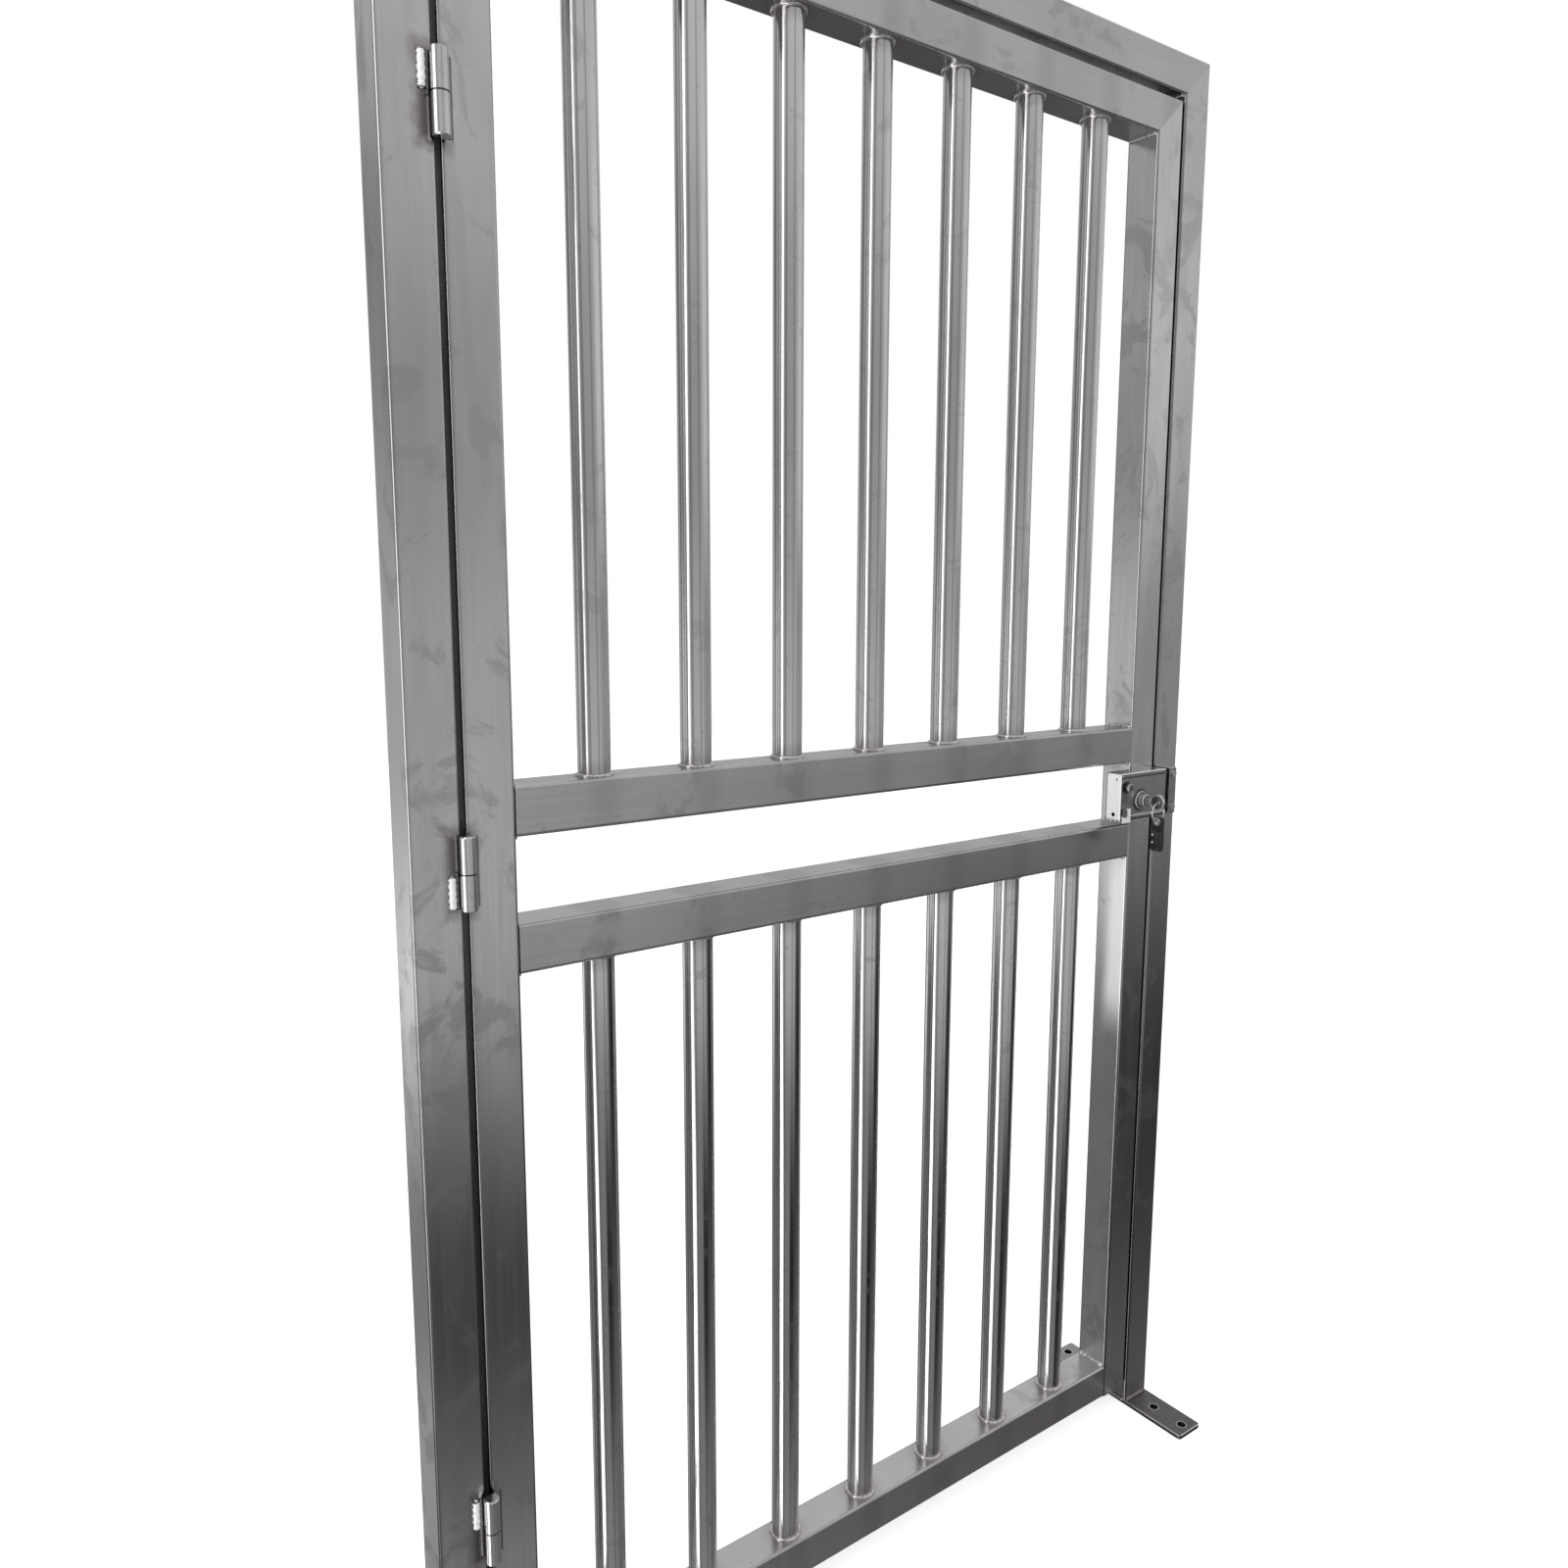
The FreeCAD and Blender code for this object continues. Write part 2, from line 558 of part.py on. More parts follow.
def knuckle(label, height, seam_side, upper, raised):
    """One half of a barrel hinge: a bored knuckle with the weld seam that holds it.

    Local Z runs from the joint between the halves to the closed end. The upper half turns on
    the pin and the lower half grips it. A raised seam ends in a bead; the other is ground flat.
    """
    body = new_body(label)
    profile = new_sketch(body, "Profile", "XZ_Plane")
    outer = "Size.hinge_diameter / 2"
    bore = "Size.hinge_pin / 2"
    if upper:
        bore = "Size.hinge_pin / 2 + Size.hinge_clearance"
    bore_end = f"{KNUCKLE_LENGTH} - Size.hinge_end"
    draw_outline(profile, [
        (bore, "0"),
        (outer, "0"),
        (outer, f"{KNUCKLE_LENGTH} - Size.hinge_edge"),
        (f"{outer} - Size.hinge_edge", KNUCKLE_LENGTH),
        ("0", KNUCKLE_LENGTH),
        ("0", bore_end),
        (bore, bore_end),
    ])
    turn_round(body, profile)
    # the seam lies against the tube face, on one side of the knuckle
    local_side = seam_side if upper else -seam_side
    seam = new_sketch(body, "Seam", "XY_Plane", "Size.seam_margin")
    near = f"({local_side}) * Size.seam_start"
    reach = "Size.seam_reach" if raised else "Size.leaf_seam_reach"
    far = f"({local_side}) * {reach}"
    bead_start = f"({local_side}) * (Size.seam_reach - Size.seam_width)"
    left_shoulder = f"({local_side}) * (Size.seam_reach - 3 * Size.seam_width / 4)"
    right_shoulder = f"({local_side}) * (Size.seam_reach - Size.seam_width / 4)"
    tube_face = outer
    root = f"{outer} - Size.seam_root"
    crest = f"{outer} - Size.seam_height"
    bead = [(right_shoulder, crest), (left_shoulder, crest), (bead_start, root)]
    draw_outline(seam, [
        (near, tube_face), (far, tube_face), (far, root), *(bead if raised else []), (near, root),
    ])
    pad(body, seam, f"{KNUCKLE_LENGTH} - 2 * Size.seam_margin")
    if upper:
        return place(body, HINGE_X, HINGE_Y, f"{height} + {KNUCKLE_BREAK} / 2")
    return place(body, HINGE_X, HINGE_Y, f"{height} - {KNUCKLE_BREAK} / 2", FLIPPED)


def hinge(name, height, post_half_on_top):
    """A barrel hinge of two knuckles, a pin and a thrust washer."""
    post_seam = -1
    leaf_seam = 1
    knuckle(f"{name}_hinge_post_knuckle", height, post_seam, post_half_on_top, raised=True)
    knuckle(f"{name}_hinge_leaf_knuckle", height, leaf_seam, not post_half_on_top, raised=False)
    reach = f"({KNUCKLE_LENGTH} + {KNUCKLE_BREAK} / 2 - Size.hinge_end)"
    pin = rod(HINGE_X, HINGE_Y, f"{height} - {reach}", "Size.hinge_pin", f"2 * {reach} - Size.pin_play")
    keep(pin, f"{name}_hinge_pin")
    washer_base = f"{height} - {KNUCKLE_BREAK} / 2"
    disc = rod(HINGE_X, HINGE_Y, washer_base, "Size.hinge_diameter - Size.washer_step", "Size.hinge_washer")
    bore = rod(HINGE_X, HINGE_Y, washer_base, "Size.hinge_pin + 2 * Size.hinge_clearance", "Size.hinge_washer")
    keep(cut(disc, [bore]), f"{name}_hinge_washer")


def build_hinges():
    low = f"({LEAF_BOTTOM} + Size.hinge_low)"
    high = f"({LEAF_TOP} - Size.hinge_high)"
    hinge("lower", low, True)
    hinge("middle", f"(({low} + {high}) / 2)", False)
    hinge("upper", high, True)


# Lock

def screw_places():
    """The four lock screws: two columns on the closing stile, two rows."""
    inner = f"({STILE_X} - Size.tube_size / 4)"
    outer = f"({STILE_X} + Size.tube_size / 4)"
    low = f"({LOCK_Z} + Size.screw_margin)"
    high = f"({LOCK_Z} + Size.lock_height - Size.screw_margin)"
    return [(inner, low), (outer, low), (inner, high), (outer, high)]


def lock_back_plate():
    plate = box(LOCK_X, CASE_BACK, LOCK_Z, "Size.lock_width", "Size.back_plate", "Size.lock_height")
    holes = []
    for x, z in screw_places():
        holes.append(rod(x, FRONT, z, "Size.lock_screw", "Size.back_plate", FORWARD))
    keep(cut(plate, holes), "lock_back_plate")


def lock_screws():
    """Screws through the back plate into the closing stile, as one group."""
    screws = []
    shank_length = "Size.back_plate + Size.tube_wall + Size.screw_reach"
    for x, z in screw_places():
        inside = f"({FRONT} + Size.tube_wall + Size.screw_reach)"
        shank = rod(x, inside, z, "Size.lock_screw", shank_length, FORWARD)
        head = rod(x, CASE_BACK, z, "Size.screw_head", "Size.screw_head_height", FORWARD)
        screws.append(fuse([shank, head]))
    group = doc.addObject("Part::Compound", "Screws")
    group.Links = screws
    keep(group, "lock_screws")


def lock_case():
    """Folded sheet case, open at its back, with lips along its top and bottom."""
    sheet_wall = "Size.lock_sheet"
    width = "Size.lock_width"
    height = "Size.lock_height"
    outside = box(LOCK_X, CASE_FRONT, LOCK_Z, width, "Size.lock_depth", height)
    corner = number("Size.lock_corner")
    cornered = round_edges(outside, corner, lambda edge: runs_along(edge, Vector(0, 1, 0)))
    front_y = number(CASE_FRONT)
    rounded = round_edges(
        cornered, number("Size.case_edge"),
        lambda edge: abs(edge.CenterOfMass.y - front_y) < TOLERANCE)
    lip_y = f"{CASE_FRONT} - Size.lip_proud"
    lip_depth = "Size.lip_proud + Size.lock_sheet"
    lip_x = f"{LOCK_X} + Size.lock_corner"
    lip_width = f"{width} - 2 * Size.lock_corner"
    upper_z = f"{LOCK_Z} + {height} - Size.lip_height"
    lip_edge = number("Size.lip_edge")
    lip_front = number(lip_y)
    lips = []
    for lip_z in (LOCK_Z, upper_z):
        lip = box(lip_x, lip_y, lip_z, lip_width, lip_depth, "Size.lip_height")
        lips.append(round_edges(
            lip, lip_edge, lambda edge: abs(edge.CenterOfMass.y - lip_front) < TOLERANCE))
    shell = fuse([rounded] + lips)
    inner_width = f"{width} - 2 * {sheet_wall}"
    inner_height = f"{height} - 2 * {sheet_wall}"
    hollow = box(
        f"{LOCK_X} + {sheet_wall}", f"{CASE_FRONT} + {sheet_wall}", f"{LOCK_Z} + {sheet_wall}",
        inner_width, f"Size.lock_depth - {sheet_wall}", inner_height)
    bolt_slot = box(
        f"{LOCK_X} + {width} - 2 * {sheet_wall}", f"{TAIL_BACK} - Size.bolt_thickness - Size.fit_gap",
        f"{BOLT_Z} - Size.fit_gap", f"3 * {sheet_wall}",
        "Size.bolt_thickness + 2 * Size.fit_gap", "Size.bolt_height + 2 * Size.fit_gap")
    wall_span = f"3 * {sheet_wall}"
    inside_front = f"{CASE_FRONT} + 2 * {sheet_wall}"
    neck_hole = rod(PLUG_X, inside_front, PLUG_Z, "Size.neck_diameter", wall_span, FORWARD)
    stem_hole = rod(
        BUTTON_X, inside_front, BUTTON_Z, "Size.button_stem + 2 * Size.fit_gap", wall_span, FORWARD)
    side_hole_z = f"{LOCK_Z} + Size.screw_margin"
    side_hole = rod(
        f"{LOCK_X} - {sheet_wall}", f"{CASE_BACK} - Size.lock_depth / 2", side_hole_z,
        "Size.seal_hole", wall_span, SIDEWAYS)
    keep(cut(shell, [hollow, bolt_slot, neck_hole, stem_hole, side_hole]), "lock_case")


def lock_tab():
    """Small drilled tab on the case's lower corner, for a seal or a padlock."""
    tab_x = f"{LOCK_X} + Size.tab_inset"
    tab_y = f"{CASE_FRONT} - Size.lip_proud - Size.lock_sheet"
    tab_z = f"{LOCK_Z} - Size.tab_inset"
    plate = box(tab_x, tab_y, tab_z, "Size.tab_width", "Size.lock_sheet", "Size.tab_height")
    eye = rod(
        f"{tab_x} + Size.tab_width / 2", f"{tab_y} + 2 * Size.lock_sheet",
        f"{tab_z} + Size.tab_height / 2", "Size.seal_hole", "3 * Size.lock_sheet", FORWARD)
    keep(cut(plate, [eye]), "lock_tab")


def cylinder_housing():
    """Flanged housing that the plug turns in."""
    inside_end = f"({CASE_FRONT} + Size.neck_inside)"
    whole_length = "Size.neck_inside + Size.flange_thickness + Size.neck_length"
    neck = rod(PLUG_X, inside_end, PLUG_Z, "Size.neck_diameter", whole_length, FORWARD)
    flange = rod(PLUG_X, CASE_FRONT, PLUG_Z, "Size.flange_diameter", "Size.flange_thickness", FORWARD)
    bore = rod(
        PLUG_X, inside_end, PLUG_Z, "Size.plug_diameter + 2 * Size.plug_play", whole_length, FORWARD)
    turned = []
    for solid, front in ((neck, number(NECK_FRONT)), (flange, number(f"{CASE_FRONT} - Size.flange_thickness"))):
        turned.append(round_edges(
            solid, number("Size.turned_edge"), lambda edge: (
                edge.Curve.TypeId == "Part::GeomCircle"
                and abs(edge.CenterOfMass.y - front) < TOLERANCE)))
    keep(cut(fuse(turned), [bore]), "cylinder_housing")
    nut_back = f"{CASE_FRONT} + Size.lock_sheet + Size.nut_thickness"
    disc = rod(PLUG_X, nut_back, PLUG_Z, "Size.nut_diameter", "Size.nut_thickness", FORWARD)
    thread = rod(PLUG_X, nut_back, PLUG_Z, "Size.neck_diameter", "Size.nut_thickness", FORWARD)
    keep(cut(disc, [thread]), "cylinder_nut")


def cylinder_plug():
    """Turning plug with its keyway; the blade slides in it."""
    length = f"{CAM_FRONT} - {PLUG_FRONT}"
    core = rod(PLUG_X, CAM_FRONT, PLUG_Z, "Size.plug_diameter", length, FORWARD)
    way_width = "(Size.key_thickness + 2 * Size.key_gap)"
    way_height = "(Size.key_blade + 2 * Size.key_gap)"
    keyway = box(
        f"{PLUG_X} - {way_width} / 2", f"{PLUG_FRONT} - Size.key_gap", f"{PLUG_Z} - {way_height} / 2",
        way_width, "Size.key_reach + 2 * Size.key_gap", way_height)
    keep(cut(core, [keyway]), "cylinder_plug")


def bolt_cam():
    """Cam on the plug's inner end, whose pin drives the bolt."""
    hub = rod(PLUG_X, CAM_BACK, PLUG_Z, "Size.plug_diameter", "Size.cam_thickness", FORWARD)
    pin_x = f"{PLUG_X} - {CAM_REACH}"
    pin_z = f"{PLUG_Z} + {CAM_REACH}"
    tip = rod(pin_x, CAM_BACK, pin_z, "Size.cam_tip", "Size.cam_thickness", FORWARD)
    arm = doc.addObject("Part::Box", "Arm")
    arm.setExpression("Length", "Size.cam_arm")
    arm.setExpression("Width", "Size.cam_thickness")
    arm.setExpression("Height", "Size.cam_radius")
    arm.Placement = Placement(Vector(), Rotation(Vector(0, 1, 0), -KEY_TURN / 2))
    # the arm's foot starts half its width to the side of the key axis
    side_step = "(Size.cam_arm * sqrt(2) / 4)"
    place(arm, f"{PLUG_X} - {side_step}", CAM_FRONT, f"{PLUG_Z} - {side_step}")
    driving_pin = rod(pin_x, TAIL_BACK, pin_z, "Size.cam_pin", f"{TAIL_BACK} - {CAM_BACK}", FORWARD)
    keep(fuse([hub, tip, arm, driving_pin]), "bolt_cam")


def lock_bolt():
    """Bolt head with a tail plate: an upright slot for the cam's pin, a long slot for the guide."""
    head = box(
        BOLT_X, f"{TAIL_BACK} - Size.bolt_thickness", BOLT_Z,
        "Size.bolt_length", "Size.bolt_thickness", "Size.bolt_height")
    rounded = round_edges(
        head, number("Size.lock_sheet"),
        lambda edge: edge.CenterOfMass.x > number(BOLT_X) + number("Size.bolt_length") - TOLERANCE)
    tail = box(
        f"{BOLT_X} - {TAIL_LENGTH}", TAIL_FRONT, TAIL_Z,
        f"{TAIL_LENGTH} + Size.lock_sheet", "Size.tail_thickness", "Size.tail_height")
    slot_low = f"({PLUG_Z} + {CAM_REACH} - Size.cam_pin / 2 - Size.slot_play)"
    slot_high = f"({PLUG_Z} + Size.cam_radius + Size.cam_pin / 2 + Size.slot_play)"
    drive_slot = box(
        f"{PLUG_X} - {CAM_REACH} - {DRIVE_SLOT} / 2", f"{TAIL_FRONT} - Size.fit_gap", slot_low,
        DRIVE_SLOT, "Size.tail_thickness + 2 * Size.fit_gap", f"{slot_high} - {slot_low}")
    guide_width = "(Size.guide_pin + 2 * Size.fit_gap)"
    travel = f"(2 * {CAM_REACH})"
    guide_slot = box(
        f"{GUIDE_X} - {guide_width} / 2 - {travel}", f"{TAIL_FRONT} - Size.fit_gap",
        f"{GUIDE_Z} - {guide_width} / 2", f"{guide_width} + {travel}",
        "Size.tail_thickness + 2 * Size.fit_gap", guide_width)
    keep(cut(fuse([rounded, tail]), [drive_slot, guide_slot]), "lock_bolt")


def bolt_guide():
    shank_length = f"{CASE_BACK} - {TAIL_FRONT} + Size.fit_gap"
    shank = rod(GUIDE_X, CASE_BACK, GUIDE_Z, "Size.guide_pin", shank_length, FORWARD)
    head = rod(
        GUIDE_X, f"{TAIL_FRONT} - Size.fit_gap", GUIDE_Z, "Size.guide_head", "Size.lock_sheet", FORWARD)
    keep(fuse([shank, head]), "bolt_guide_pin")


def hold_back_button():
    """Push button through the case's front, with its collar and return spring."""
    head_back = f"({CASE_FRONT} - Size.button_travel - Size.fit_gap)"
    head = rod(BUTTON_X, head_back, BUTTON_Z, "Size.button_diameter", "Size.button_head", FORWARD)
    front_edge = number(head_back) - number("Size.button_head")
    rounded = round_edges(head, number("Size.button_edge"), lambda edge: (
        edge.Curve.TypeId == "Part::GeomCircle" and abs(edge.CenterOfMass.y - front_edge) < TOLERANCE))
    collar_back = f"({COLLAR_FRONT} + Size.collar_thickness)"
    stem_length = f"{collar_back} - {head_back}"
    stem = rod(BUTTON_X, collar_back, BUTTON_Z, "Size.button_stem", stem_length, FORWARD)
    collar = rod(
        BUTTON_X, collar_back, BUTTON_Z, "Size.button_collar", "Size.collar_thickness", FORWARD)
    keep(fuse([rounded, stem, collar]), "hold_back_button")
    # the spring fills the space between the collar and the back plate
    wire = number("Size.spring_wire")
    room = number(f"{CASE_BACK} - {collar_back}")
    rise = room - wire
    coil = Part.makeHelix(rise / number("Size.spring_turns"), rise, number("Size.spring_radius"))
    start = coil.Vertexes[0].Point
    tangent = coil.Edges[0].tangentAt(coil.Edges[0].FirstParameter)
    section = Part.Wire([Part.makeCircle(wire / 2, start, tangent)])
    spring_shape = Part.Wire(coil).makePipeShell([section], True, True)
    spring = doc.addObject("Part::Feature", "Spring")
    spring.Shape = spring_shape
    seat = Vector(number(BUTTON_X), number(CASE_BACK) - wire / 2, number(BUTTON_Z))
    spring.Placement = Placement(seat, FORWARD)
    keep(spring, "button_spring")


def key():
    """Sheet key standing upright in its plug: blade, neck and a round bow with an eye."""
    body = new_body("key")
    blade = new_sketch(body, "Blade", "YZ_Plane", "0 - Size.key_thickness / 2")
    half_blade = "Size.key_blade / 2"
    bow_centre = "(0 - Size.key_neck - Size.key_bow / 2)"
    draw_outline(blade, [
        (bow_centre, f"0 - {half_blade}"),
        ("Size.key_reach - Size.key_slope", f"0 - {half_blade}"),
        ("Size.key_reach", "0 - Size.key_tip / 2"),
        ("Size.key_reach", "Size.key_tip / 2"),
        ("Size.key_reach - Size.key_slope", half_blade),
        (bow_centre, half_blade),
    ])
    pad(body, blade, "Size.key_thickness")
    bow = new_sketch(body, "Bow", "YZ_Plane", "0 - Size.key_thickness / 2")
    draw_circle(bow, bow_centre, "0", "Size.key_bow", "bow")
    pad(body, bow, "Size.key_thickness")
    eye = new_sketch(body, "Eye", "YZ_Plane")
    draw_circle(eye, f"{bow_centre} - Size.eye_shift", "0", "Size.key_eye", "eye")
    cut_through(body, eye)
    place(body, PLUG_X, PLUG_FRONT, PLUG_Z)


def key_ring_and_tag():
    ring = doc.addObject("Part::Torus", "Ring")
    ring.setExpression("Radius1", "Size.ring_radius")
    ring.setExpression("Radius2", "Size.ring_wire / 2")
    place(ring, PLUG_X, KEY_EYE_Y, RING_Z, FORWARD)
    keep(ring, "key_ring")
    # the tag hangs edge on to the ring, which passes through its eyelet
    eye_z = f"({RING_Z} - Size.ring_radius)"
    tag = box(
        f"{PLUG_X} - Size.tag_thickness / 2", f"{KEY_EYE_Y} - Size.tag_width / 2",
        f"{eye_z} - Size.tag_length", "Size.tag_thickness", "Size.tag_width",
        "Size.tag_length + Size.tag_edge")
    rounded = round_edges(
        tag, number("Size.tag_corner"), lambda edge: runs_along(edge, Vector(1, 0, 0)))
    outer_diameter = "(Size.tag_eye + 2 * Size.eyelet_rim)"
    seat = rod(
        f"{PLUG_X} - Size.tag_thickness", KEY_EYE_Y, eye_z, "Size.tag_eye + 2 * Size.eyelet_sheet",
        "2 * Size.tag_thickness", SIDEWAYS)
    keep(cut(rounded, [seat]), "key_tag")
    left_rim = rod(
        f"{PLUG_X} - Size.tag_thickness / 2 - Size.eyelet_sheet", KEY_EYE_Y, eye_z, outer_diameter,
        "Size.eyelet_sheet", SIDEWAYS)
    right_rim = rod(
        f"{PLUG_X} + Size.tag_thickness / 2", KEY_EYE_Y, eye_z, outer_diameter,
        "Size.eyelet_sheet", SIDEWAYS)
    barrel = rod(
        f"{PLUG_X} - Size.tag_thickness / 2", KEY_EYE_Y, eye_z, "Size.tag_eye + 2 * Size.eyelet_sheet",
        "Size.tag_thickness", SIDEWAYS)
    bore = rod(
        f"{PLUG_X} - Size.tag_thickness", KEY_EYE_Y, eye_z, "Size.tag_eye",
        "2 * Size.tag_thickness", SIDEWAYS)
    keep(cut(fuse([left_rim, right_rim, barrel]), [bore]), "tag_eyelet")


def strike():
    """Open-sided box on the closing post that the bolt shoots into, with its two screws."""
    depth = f"({FRONT} - {CASE_FRONT})"
    wall = "Size.strike_sheet"
    outside = box(STRIKE_X, CASE_FRONT, LOCK_Z, "Size.strike_width", depth, "Size.lock_height")
    corner = number("Size.lock_corner")
    cornered = round_edges(outside, corner, lambda edge: (
        runs_along(edge, Vector(0, 0, 1)) and edge.CenterOfMass.y < number(FRONT) - TOLERANCE
        and edge.CenterOfMass.x > number(STRIKE_X) + TOLERANCE))
    rounded = round_edges(cornered, number("Size.case_edge"), lambda edge: (
        runs_along(edge, Vector(1, 0, 0)) and edge.CenterOfMass.y < number(FRONT) - TOLERANCE))
    hollow = box(
        f"{STRIKE_X} - {wall}", f"{CASE_FRONT} + {wall}", f"{LOCK_Z} + {wall}",
        "Size.strike_width", f"{depth} - 2 * {wall}", f"Size.lock_height - 2 * {wall}")
    holes = []
    screws = []
    inside = f"({FRONT} + Size.tube_wall + Size.screw_reach)"
    for height in STRIKE_SCREW_HEIGHTS:
        holes.append(rod(STRIKE_SCREW_X, FRONT, height, "Size.strike_screw", depth, FORWARD))
        shank = rod(
            STRIKE_SCREW_X, inside, height, "Size.strike_screw",
            f"{depth} + Size.tube_wall + Size.screw_reach", FORWARD)
        head = rod(
            STRIKE_SCREW_X, CASE_FRONT, height, "Size.screw_head", "Size.screw_head_height", FORWARD)
        screws.append(fuse([shank, head]))
    keep(cut(rounded, [hollow] + holes), "strike_box")
    group = doc.addObject("Part::Compound", "StrikeScrews")
    group.Links = screws
    keep(group, "strike_screws")


def build_lock():
    lock_back_plate()
    lock_screws()
    lock_case()
    lock_tab()
    cylinder_housing()
    cylinder_plug()
    bolt_cam()
    lock_bolt()
    bolt_guide()
    hold_back_button()
    key()
    key_ring_and_tag()
    strike()


# Build, test, write

build_portal()
build_leaf()
build_hinges()
build_lock()
doc.recompute()

for item in doc.Objects:
    if "Invalid" in item.State or "Error" in item.State:
        raise RuntimeError(f"{item.Name} ({item.Label}) failed: {item.State}")

os.makedirs("parts", exist_ok=True)
for piece in sub_parts:
    if piece.Shape.isNull() or not piece.Shape.isValid():
        raise RuntimeError(f"{piece.Label} has no valid shape")
for piece in sub_parts:
    piece.Shape.exportStep(f"parts/{piece.Label}.step")
bolt_travel = number(f"2 * {CAM_REACH}")
print(f"{len(sub_parts)} sub-parts written; a key turn of {KEY_TURN} moves the bolt {bolt_travel:.2f} mm")
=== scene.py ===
import math

import bmesh
import bpy
from mathutils import Matrix, Vector


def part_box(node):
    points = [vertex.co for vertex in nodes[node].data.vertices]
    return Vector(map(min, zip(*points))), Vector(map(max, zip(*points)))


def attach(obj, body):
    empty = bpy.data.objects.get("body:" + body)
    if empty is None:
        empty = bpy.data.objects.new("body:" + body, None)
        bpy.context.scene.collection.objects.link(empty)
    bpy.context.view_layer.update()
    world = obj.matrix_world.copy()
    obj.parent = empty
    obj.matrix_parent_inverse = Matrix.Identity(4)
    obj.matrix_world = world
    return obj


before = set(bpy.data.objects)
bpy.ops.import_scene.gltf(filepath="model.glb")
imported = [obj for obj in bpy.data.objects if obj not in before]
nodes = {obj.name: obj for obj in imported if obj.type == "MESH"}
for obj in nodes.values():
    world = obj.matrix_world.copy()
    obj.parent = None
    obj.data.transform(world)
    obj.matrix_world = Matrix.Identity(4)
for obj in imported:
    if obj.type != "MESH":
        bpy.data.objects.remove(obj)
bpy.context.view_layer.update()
scene = bpy.context.scene
print("frame loaded:", len(nodes), "nodes")


# Camera, off the hinge side and above the middle of the gate
cameraView = {
    "place": (-0.92903, -1.08921, 1.24465),
    "turnToRight": 0.62999,
    "tiltDown": 0.1444,
    "lean": 0.00157,
    "lens": 27.4924,
    "shift": (0.003596, -0.005941),
}


def makeCamera():
    data = bpy.data.cameras.new("gateCamera")
    data.sensor_width = 36.0
    data.lens = cameraView["lens"]
    data.shift_x, data.shift_y = cameraView["shift"]
    data.clip_end = 60.0
    camera = bpy.data.objects.new("gateCamera", data)
    turned = Matrix.Rotation(-cameraView["turnToRight"], 4, "Z")
    tilted = Matrix.Rotation(math.pi / 2 - cameraView["tiltDown"], 4, "X")
    leaned = Matrix.Rotation(cameraView["lean"], 4, "Z")
    camera.matrix_world = Matrix.Translation(cameraView["place"]) @ turned @ tilted @ leaned
    scene.collection.objects.link(camera)
    scene.camera = camera


makeCamera()
scene.view_settings.view_transform = "Standard"
print("camera set")


# Short ways to add and join shader nodes
def addNode(tree, kind, inputs=None, **settings):
    node = tree.nodes.new(kind)
    for name, value in settings.items():
        setattr(node, name, value)
    for key, value in (inputs or {}).items():
        if isinstance(value, bpy.types.NodeSocket):
            tree.links.new(value, node.inputs[key])
        else:
            node.inputs[key].default_value = value
    return node


def calc(tree, operation, first, second=0.0):
    return addNode(tree, "ShaderNodeMath", {0: first, 1: second}, operation=operation).outputs[0]


def fade(tree, value, low, high, start=0.0, finish=1.0):
    inputs = {"Value": value, "From Min": low, "From Max": high, "To Min": start, "To Max": finish}
    node = addNode(tree, "ShaderNodeMapRange", inputs, interpolation_type="SMOOTHSTEP")
    return node.outputs["Result"]


def band(tree, value, rise, fall):
    return calc(tree, "MULTIPLY", fade(tree, value, *rise), fade(tree, value, *fall, 1.0, 0.0))


def lengthOf(tree, first, second):
    square = calc(tree, "ADD", calc(tree, "POWER", first, 2.0), calc(tree, "POWER", second, 2.0))
    return calc(tree, "SQRT", square)


def awayFrom(tree, value, middle):
    return calc(tree, "ABSOLUTE", calc(tree, "SUBTRACT", value, middle))


def split(tree, place):
    return addNode(tree, "ShaderNodeSeparateXYZ", {0: place}).outputs


def stretch(tree, place, scale):
    return addNode(tree, "ShaderNodeMapping", {"Vector": place, "Scale": scale}).outputs[0]


def noise(tree, place, scale, detail, **more):
    inputs = {"Vector": place, "Scale": scale, "Detail": detail, **more}
    return addNode(tree, "ShaderNodeTexNoise", inputs).outputs[0]


def objectPlace(tree):
    return addNode(tree, "ShaderNodeTexCoord").outputs["Object"]


def grey(level):
    return (level, level, level, 1.0)


def mixColors(tree, factor, first, second, way="MIX"):
    node = addNode(tree, "ShaderNodeMix", data_type="RGBA", blend_type=way)
    for socket, value in zip((node.inputs[0], node.inputs[6], node.inputs[7]), (factor, first, second)):
        if isinstance(value, bpy.types.NodeSocket):
            tree.links.new(value, socket)
        else:
            socket.default_value = value
    return node.outputs[2]


def newGroup(name, inputs, outputs):
    group = bpy.data.node_groups.new(name, "ShaderNodeTree")
    for label, kind, value in inputs:
        socket = group.interface.new_socket(label, in_out="INPUT", socket_type=kind)
        if value is not None:
            socket.default_value = value
    for label, kind in outputs:
        group.interface.new_socket(label, in_out="OUTPUT", socket_type=kind)
    source = group.nodes.new("NodeGroupInput").outputs
    result = group.nodes.new("NodeGroupOutput").inputs
    return group, source, result


def useGroup(tree, group, inputs):
    return addNode(tree, "ShaderNodeGroup", inputs, node_tree=group).outputs


def newMaterial(name):
    material = bpy.data.materials.new(name)
    material.use_nodes = True
    tree = material.node_tree
    return material, tree, tree.nodes["Principled BSDF"]


def reopen(material):
    tree = material.node_tree
    shader = tree.nodes["Principled BSDF"]
    return tree, shader, shader.inputs["Base Color"].links[0].from_socket, objectPlace(tree)


